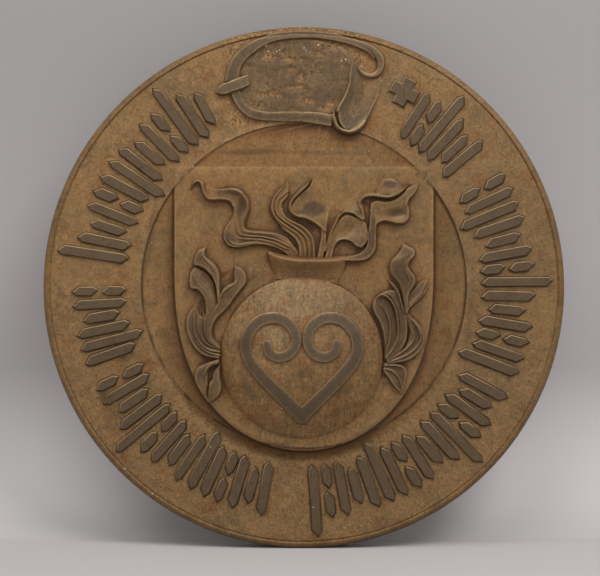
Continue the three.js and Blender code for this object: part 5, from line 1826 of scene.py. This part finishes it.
def aged_paint():
    """Old bronze paint: the patina, dark wash on what stands proud, rust in the hollows, soot that
    also paints shade in the hollows and seams, painted shade under edges, and worn edges that also
    paint highlights. Gives the colour and how rough it is."""
    wires, given, result = new_group("aged paint", "ShaderNodeTree", {
        "Ground": ("Color", shade(OCHRE)),
        "Wash Colour": ("Color", shade(UMBER)),
        "Rust": ("Color", shade(RUST)),
        "Worn And Highlight": ("Color", shade(WORN_AND_HIGHLIGHT)),
        "Soot And Shade Colour": ("Color", shade(SOOT_AND_SHADE)),
        "Wash": ("Float", 0.0),
        "Hollow": ("Float", 0.0),
        "Crest": ("Float", 0.0),
        "Grime And Shade": ("Float", 0.0),
        "Facing Up": ("Float", 0.0),
        "Streaks": ("Float", 0.5),
        "Patchy": ("Float", 0.5),
        "Grain": ("Float", 0.5),
    }, {"Color": "Color", "Roughness": "Float"})
    rusty = wires.remap(given["Patchy"], *HOLLOW_RUST_EDGE, HOLLOW_RUST_LEAST, 1.0)
    rusty = wires.times(wires.times(given["Hollow"], rusty), HOLLOW_RUST)
    color = wires.mix(rusty, given["Ground"], given["Rust"])

    torn = wires.times(wires.minus(given["Patchy"], WASH_LEVEL), WASH_TORN)
    torn = wires.plus(torn, wires.minus(given["Grain"], 0.5))
    washed = wires.remap(wires.plus(given["Wash"], torn), *WASH_EDGE)
    washed = wires.times(washed, wires.remap(given["Wash"], 0.0, WASH_START))
    shading = wires.plus(WASH_SHADE, wires.times(given["Streaks"], WASH_STREAKS))
    shading = wires.plus(shading, wires.times(given["Grain"], WASH_GRAIN))
    wash = wires.mix(1.0, given["Wash Colour"], wires.grey(shading), "MULTIPLY")
    color = wires.mix(washed, color, wash)

    # Worn crests, partly standing for sheen, and a painted highlight on washed edges facing up and
    # left
    worn_and_highlight = wires.times(
        given["Crest"], wires.remap(given["Grain"], *CREST_BREAK_EDGE, CREST_BREAK_LEAST, 1.0),
    )
    edge_highlight = wires.times(wires.remap(given["Facing Up"], *HIGHLIGHT_FACING, 0.0, EDGE_HIGHLIGHT_STRENGTH), given["Wash"])
    worn_and_highlight = wires.most(wires.times(worn_and_highlight, WORN_CREST_AND_HIGHLIGHT), edge_highlight)
    color = wires.mix(worn_and_highlight, color, given["Worn And Highlight"])

    # Soot, also standing for shade, in hollows and where wash meets hollows; painted shade under
    # edges
    deep = wires.remap(given["Hollow"], *DEEP_EDGE, 0.0, DEEP_SOOT_AND_SHADE)
    caught = wires.times(wires.times(given["Wash"], given["Hollow"]), CAUGHT_SOOT_AND_SHADE)
    shade_under = wires.remap(given["Facing Up"], *UNDER_EDGE, UNDER_PAINTED_SHADE, 0.0)
    dirt_and_shade = wires.most(wires.most(wires.most(deep, caught), shade_under), given["Grime And Shade"])
    color = wires.mix(dirt_and_shade, color, given["Soot And Shade Colour"])
    rough = wires.remap(given["Patchy"], *ROUGH_EDGE, *ROUGHNESS)
    rough = wires.minus(rough, wires.times(given["Wash"], WASH_SMOOTHER))
    wires.feed(result["Color"], color)
    wires.feed(result["Roughness"], rough)
    return wires.tree


def mask(wires, name):
    return wires.add(
        "ShaderNodeAttribute", attribute_type="GEOMETRY", attribute_name=name,
    ).outputs["Fac"]


def distance_from(wires, place, x, up):
    """Distance from a point on the level of the ring field."""
    return wires.vector("LENGTH", wires.vector("SUBTRACT", place, (x, -FIELD, up)))


def brush_way(wires, parts, ring, on_ring):
    """What the brushwork follows: outwards on the ring and upright inside it."""
    upright = wires.xyz(parts["X"], parts["Z"], parts["Y"])
    way = wires.add("ShaderNodeMix", data_type="VECTOR")
    sockets = (way.inputs[0], way.inputs[4], way.inputs[5])
    for socket, value in zip(sockets, (on_ring, upright, ring["Unrolled"])):
        wires.feed(socket, value)
    return way.outputs[1]


def cartouche_area(wires, parts):
    """One on the cartouche over the shield, none elsewhere."""
    above = wires.remap(parts["Z"], RECESS_RADIUS - 2, RECESS_RADIUS + 2)
    aside = wires.math("ABSOLUTE", wires.minus(parts["X"], CARTOUCHE_X))
    end = CARTOUCHE_HALF_WIDTH + CARTOUCHE_EDGE
    return wires.times(above, wires.remap(aside, CARTOUCHE_HALF_WIDTH, end, 1.0, 0.0))


def grain_strength(wires, parts, on_ring, on_ball, on_cartouche):
    """How strongly the grain shows: most on the cartouche, least on the shield's face."""
    rough = wires.times(on_ring, wires.remap(parts["Z"], *RING_GRAIN_UP, *RING_GRAIN))
    rough = wires.most(rough, wires.times(on_ball, BALL_GRAIN))
    rough = wires.most(
        rough, wires.remap(parts["Z"], SHIELD_TOP - 1, SHIELD_TOP + 1, 0.0, TOP_GRAIN),
    )
    rough = wires.most(rough, wires.times(on_cartouche, CARTOUCHE_GRAIN))
    return wires.most(rough, PLAIN_GRAIN)


def grime_over(wires, place, on_ring, streaks, broad, scored):
    """Smears, dirt with painted shade in seams, scratches, ring smudges and pits, taken together.
    """
    smear_group = smear()
    grime_and_shade = 0.0
    for cx, up, turn, half_length, half_width, strength in SMEARS:
        patch = placed(wires, smear_group, {
            "Place": place, "Centre": (cx, -FIELD, up), "Turn": math.radians(turn),
            "Half Length": half_length, "Half Width": half_width,
        })["Mask"]
        grime_and_shade = wires.most(grime_and_shade, wires.times(patch, strength))
    # Seams at the strokes' feet and the recess step darken as dirt and as painted shadow of the
    # step
    seam = wires.times(mask(wires, "seam"), wires.remap(broad, *SEAM_EDGE, *SEAM_GRIME_AND_SHADE))
    grime_and_shade = wires.most(grime_and_shade, seam)
    scratched = wires.times(scored, wires.remap(on_ring, 0.0, 1.0, *SCRATCH_GRIME))
    grime_and_shade = wires.most(grime_and_shade, scratched)
    smudges = wires.noise(place, *SMUDGE_NOISE)
    smudged = wires.times(wires.remap(smudges, *SMUDGE_EDGE, 0.0, SMUDGE_GRIME), on_ring)
    grime_and_shade = wires.most(grime_and_shade, smudged)
    pits = wires.remap(wires.noise(place, *PIT_NOISE), *PIT_EDGE)
    pitted = wires.remap(wires.noise(place, *PITTED_NOISE), *PITTED_EDGE)
    pitted = wires.most(pitted, wires.remap(mask(wires, "hollow"), *PITTED_HOLLOW))
    grime_and_shade = wires.most(grime_and_shade, wires.times(wires.times(pits, pitted), PIT_GRIME))
    return wires.times(grime_and_shade, wires.remap(streaks, *GRIME_EDGE, GRIME_LEAST, 1.0), clamp=True)


def chips(wires, place):
    """Small white chips with ragged edges."""
    chipped = 0.0
    for cx, up, size in CHIPS:
        flat = wires.vector("SUBTRACT", place, (cx, 0.0, up))
        flat = wires.vector("MULTIPLY", flat, (1.0, 0.0, 1.0))
        whole, gone = (size * share for share in CHIP_EDGE)
        hit = wires.remap(wires.vector("LENGTH", flat), whole, gone, 1.0, 0.0)
        chipped = wires.most(chipped, hit)
    ragged = wires.remap(wires.noise(place, *CHIP_NOISE), *CHIP_RAGGED_EDGE)
    return wires.times(chipped, ragged)


def settled_dirt(wires, parts, ring, plain, from_crown, on_ball):
    """Share of the colour left by painted shade and a darker tone inside the ring, as a grey."""
    down = wires.plus(wires.times(parts["X"], PAINTED_SHADE_RIGHT), wires.times(parts["Z"], -PAINTED_SHADE_DOWN))
    left = wires.remap(down, *PAINTED_SHADE_FADE, 1.0, PAINTED_SHADE_SIDE)
    rim = DISC_RADIUS - RIM_WIDTH
    left = wires.times(left, wires.remap(ring["Radius"], rim - 1, rim + 1, 1.0, PAINTED_SHADE_RIM))
    ball_side = wires.times(wires.remap(from_crown, *BALL_PAINTED_SHADE_FADE), on_ball)
    left = wires.times(left, wires.remap(ball_side, 0.0, 1.0, 1.0, PAINTED_SHADE_BALL))
    return wires.grey(wires.times(left, wires.remap(plain, 0.0, 1.0, DULL_INSIDE, 1.0)))


def cast_paint():
    """The plaque's one finish, whose brushwork runs outwards on the ring and upright inside it."""
    material = bpy.data.materials.new("patinated_cast")
    material.use_nodes = True
    material.node_tree.nodes.clear()
    wires = Wiring(material.node_tree)
    coordinates = wires.add("ShaderNodeTexCoord").outputs
    place = wires.scaled(coordinates["Object"], 1 / MM)
    parts = wires.parts(place)
    ring = placed(wires, ring_coordinates(), {"Place": place})
    on_ring = wires.remap(ring["Radius"], RECESS_RADIUS - 1, RECESS_RADIUS + 1)
    on_ball = wires.remap(distance_from(wires, place, BALL_X, BALL_Y), *BALL_EDGE, 1.0, 0.0)
    from_crown = distance_from(wires, place, CROWN_X, CROWN_Y)
    on_cartouche = cartouche_area(wires, parts)
    plain = wires.most(on_ring, on_ball)

    way = brush_way(wires, parts, ring, on_ring)
    streaks_group = brush_streaks()
    fine = placed(wires, streaks_group, {"Vector": way, **FINE_STREAK})["Streaks"]
    broad = placed(wires, streaks_group, {"Vector": way, **BROAD_STREAK})["Streaks"]
    streaks = wires.plus(wires.times(fine, FINE_SHARE), wires.times(broad, BROAD_SHARE))
    grain = wires.noise(place, *GRAIN_NOISE)
    scored = placed(wires, scratches(), {"Vector": way, "Cover": SCRATCH_COVER})["Scratches"]

    base = wires.mix(wires.times(on_ring, RING_GREY), shade(OCHRE), shade(GREY_OCHRE))
    # Painted highlight: the ball's crown, up and to its left, is paler
    crown = wires.times(wires.remap(from_crown, *CROWN_FADE, CROWN_HIGHLIGHT, 0.0), on_ball)
    rusty = wires.remap(plain, 0.0, 1.0, *RUSTY)
    ground = placed(wires, patina(), {
        "Place": place, "Streaks": streaks, "Grain": grain,
        "Rough": grain_strength(wires, parts, on_ring, on_ball, on_cartouche),
        "Brushed": wires.remap(on_ball, 0.0, 1.0, BRUSHED, BRUSHED_ON_BALL),
        "Ochre": wires.mix(crown, base, shade(CROWN_HIGHLIGHT_OCHRE)),
        "Rusty": wires.minus(rusty, wires.times(on_cartouche, CARTOUCHE_RUST)),
    })
    paint = placed(wires, aged_paint(), {
        "Ground": ground["Color"], "Patchy": ground["Patchy"], "Grain": grain, "Streaks": streaks,
        "Wash": mask(wires, "wash"),
        "Wash Colour": wires.mix(plain, shade(FLAME_UMBER), shade(UMBER)),
        "Hollow": mask(wires, "hollow"), "Crest": mask(wires, "crest"),
        "Grime And Shade": grime_over(wires, place, on_ring, streaks, broad, scored),
        "Facing Up": wires.vector("DOT_PRODUCT", coordinates["Normal"], UP_LEFT),
    })

    chipped = chips(wires, place)
    bare = wires.remap(wires.noise(place, *BACK_NOISE), *BACK_BARE_EDGE, 0.0, BACK_BARE)
    bare = wires.times(wires.remap(parts["Y"], *BACK_EDGE), bare)
    # Broad painted shade away from the top left, on the rim and low on the ball; darker tone inside
    shade_and_tone = settled_dirt(wires, parts, ring, plain, from_crown, on_ball)
    color = wires.mix(1.0, paint["Color"], shade_and_tone, "MULTIPLY")
    color = wires.mix(wires.most(chipped, bare), color, shade(PLASTER))
    relief = wires.plus(wires.times(fine, STREAK_RELIEF), wires.times(grain, GRAIN_RELIEF))
    relief = wires.minus(relief, wires.times(scored, SCRATCH_RELIEF))
    relief = wires.minus(relief, wires.times(chipped, CHIP_RELIEF))
    bump = wires.add("ShaderNodeBump", {
        "Strength": BUMP_STRENGTH, "Distance": BUMP_DEPTH * MM, "Height": relief,
    }).outputs[0]
    shader = wires.add("ShaderNodeBsdfPrincipled", {
        "Base Color": color, "Roughness": paint["Roughness"], "Normal": bump,
        "Specular IOR Level": SPECULAR,
    })
    output = wires.add("ShaderNodeOutputMaterial")
    wires.tree.links.new(shader.outputs[0], output.inputs["Surface"])
    return material


# Stage, light and camera


def paper_sheet(name, profile, half, shader):
    """A wide sheet whose profile runs from front to back and up, with its face to the plaque."""
    points = [(x, y, z) for y, z in profile for x in (-half, half)]
    faces = [(k, k + 1, k + 3, k + 2) for k in range(0, len(points) - 2, 2)]
    mesh = bpy.data.meshes.new(name)
    mesh.from_pydata(points, [], faces)
    mesh.shade_smooth()
    mesh.materials.append(shader)
    new_object(name, mesh)


def pale_paper(name, color):
    paper = bpy.data.materials.new(name)
    paper.use_nodes = True
    surface = paper.node_tree.nodes["Principled BSDF"]
    surface.inputs["Base Color"].default_value = color
    surface.inputs["Roughness"].default_value = PAPER_ROUGHNESS
    surface.inputs["Specular IOR Level"].default_value = 0.0
    return paper


def paper_by_height(wires):
    """Painted light and shade on the paper wall: palest just above its foot, darker further up."""
    up = wires.parts(wires.add("ShaderNodeTexCoord").outputs["Object"])["Z"]
    color = wires.mix(wires.remap(up, *FOOT_PAPER_UP), PAPER, FOOT_PAPER)
    color = wires.mix(wires.remap(up, *WALL_PAPER_UP), color, WALL_PAPER)
    return wires.mix(wires.remap(up, *HIGH_PAPER_UP), color, HIGH_PAPER)


def wall_paper():
    """Paper that is seen from its face alone, and that lets the light behind it through."""
    paper = pale_paper("pale_paper_wall", WALL_PAPER)
    wires = Wiring(paper.node_tree)
    surface = paper.node_tree.nodes["Principled BSDF"]
    wires.feed(surface.inputs["Base Color"], paper_by_height(wires))
    behind = wires.add("ShaderNodeNewGeometry").outputs["Backfacing"]
    through = wires.add("ShaderNodeLightPath").outputs["Is Shadow Ray"]
    clear = wires.add("ShaderNodeBsdfTransparent").outputs[0]
    both = wires.add("ShaderNodeMixShader", {"Fac": wires.most(behind, through)})
    wires.tree.links.new(surface.outputs[0], both.inputs[1])
    wires.tree.links.new(clear, both.inputs[2])
    wires.tree.links.new(
        both.outputs[0], paper.node_tree.nodes["Material Output"].inputs["Surface"],
    )
    return paper


def turned(profile, angle, turn, radius, steps=24):
    """Carries a profile on round a bend, and gives the heading that it leaves in."""
    for _ in range(steps):
        angle += turn / steps
        y, z = profile[-1]
        stride = radius * turn / steps
        profile.append((y + stride * math.cos(angle), z + stride * math.sin(angle)))
    return angle


def paper_stage():
    """Pale paper on the floor and behind the plaque. The plaque leans back against the paper, so in
    its own upright frame the paper slopes up behind it and leans over it."""
    floor = -DISC_RADIUS * MM
    floor_paper = pale_paper("pale_paper", PAPER)
    paper_sheet(
        "paper_floor", [(-FLOOR_REACH, floor), (FLOOR_REACH, floor)], FLOOR_REACH, floor_paper,
    )
    profile = [(FOOT_BACK, floor - PAPER_GAP)]
    angle = turned(profile, 0.0, math.radians(LEAN), FOOT_TURN)
    angle = turned(profile, angle, math.pi / 2, WALL_TURN)
    y, z = profile[-1]
    profile.append((y + WALL_HEIGHT * math.cos(angle), z + WALL_HEIGHT * math.sin(angle)))
    paper_sheet("paper_wall", profile, FLOOR_REACH, wall_paper())


def soft_light(name, place, size, power, color):
    """A round lamp turned to the middle of the plaque."""
    lamp = bpy.data.lights.new(name, "AREA")
    lamp.shape = "DISK"
    lamp.size = size
    lamp.energy = power
    lamp.color = color
    light = bpy.data.objects.new(name, lamp)
    light.location = place
    light.rotation_euler = (-Vector(place)).to_track_quat("-Z", "Y").to_euler()
    bpy.context.scene.collection.objects.link(light)


def studio():
    scene = bpy.context.scene
    world = bpy.data.worlds.new("studio")
    world.use_nodes = True
    sky = world.node_tree.nodes["Background"]
    sky.inputs["Color"].default_value = SKY_COLOR
    sky.inputs["Strength"].default_value = SKY_STRENGTH
    scene.world = world
    scene.view_settings.view_transform = "Standard"
    for lamp in LIGHTS:
        soft_light(*lamp)


def camera():
    view = bpy.data.cameras.new("camera")
    view.lens = LENS
    view.sensor_width = SENSOR
    view.sensor_fit = "HORIZONTAL"
    distance = VIEW_WIDTH * MM * LENS / SENSOR
    holder = bpy.data.objects.new("camera", view)
    holder.location = (VIEW_X * MM, -(FIELD * MM + distance), VIEW_UP * MM)
    holder.rotation_euler = (math.pi / 2, 0, 0)
    bpy.context.scene.collection.objects.link(holder)
    bpy.context.scene.camera = holder


def plaque():
    lift = carving()
    paint = cast_paint()
    plate = thinned(plate_mesh(lift), KEPT_TRIANGLES)
    mesh = united(plate, strokes_mesh(paint))
    mesh.name = "plaque"
    mesh.materials.clear()
    mesh.materials.append(paint)
    hold_masks(mesh, lift)
    mesh.shade_smooth()
    mesh.set_sharp_from_angle(angle=math.radians(SHARP_ANGLE))
    piece = new_object("coat_of_arms_plaque", mesh)
    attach(piece, "root")
    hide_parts("plaque")


paper_stage()
studio()
camera()
plaque()
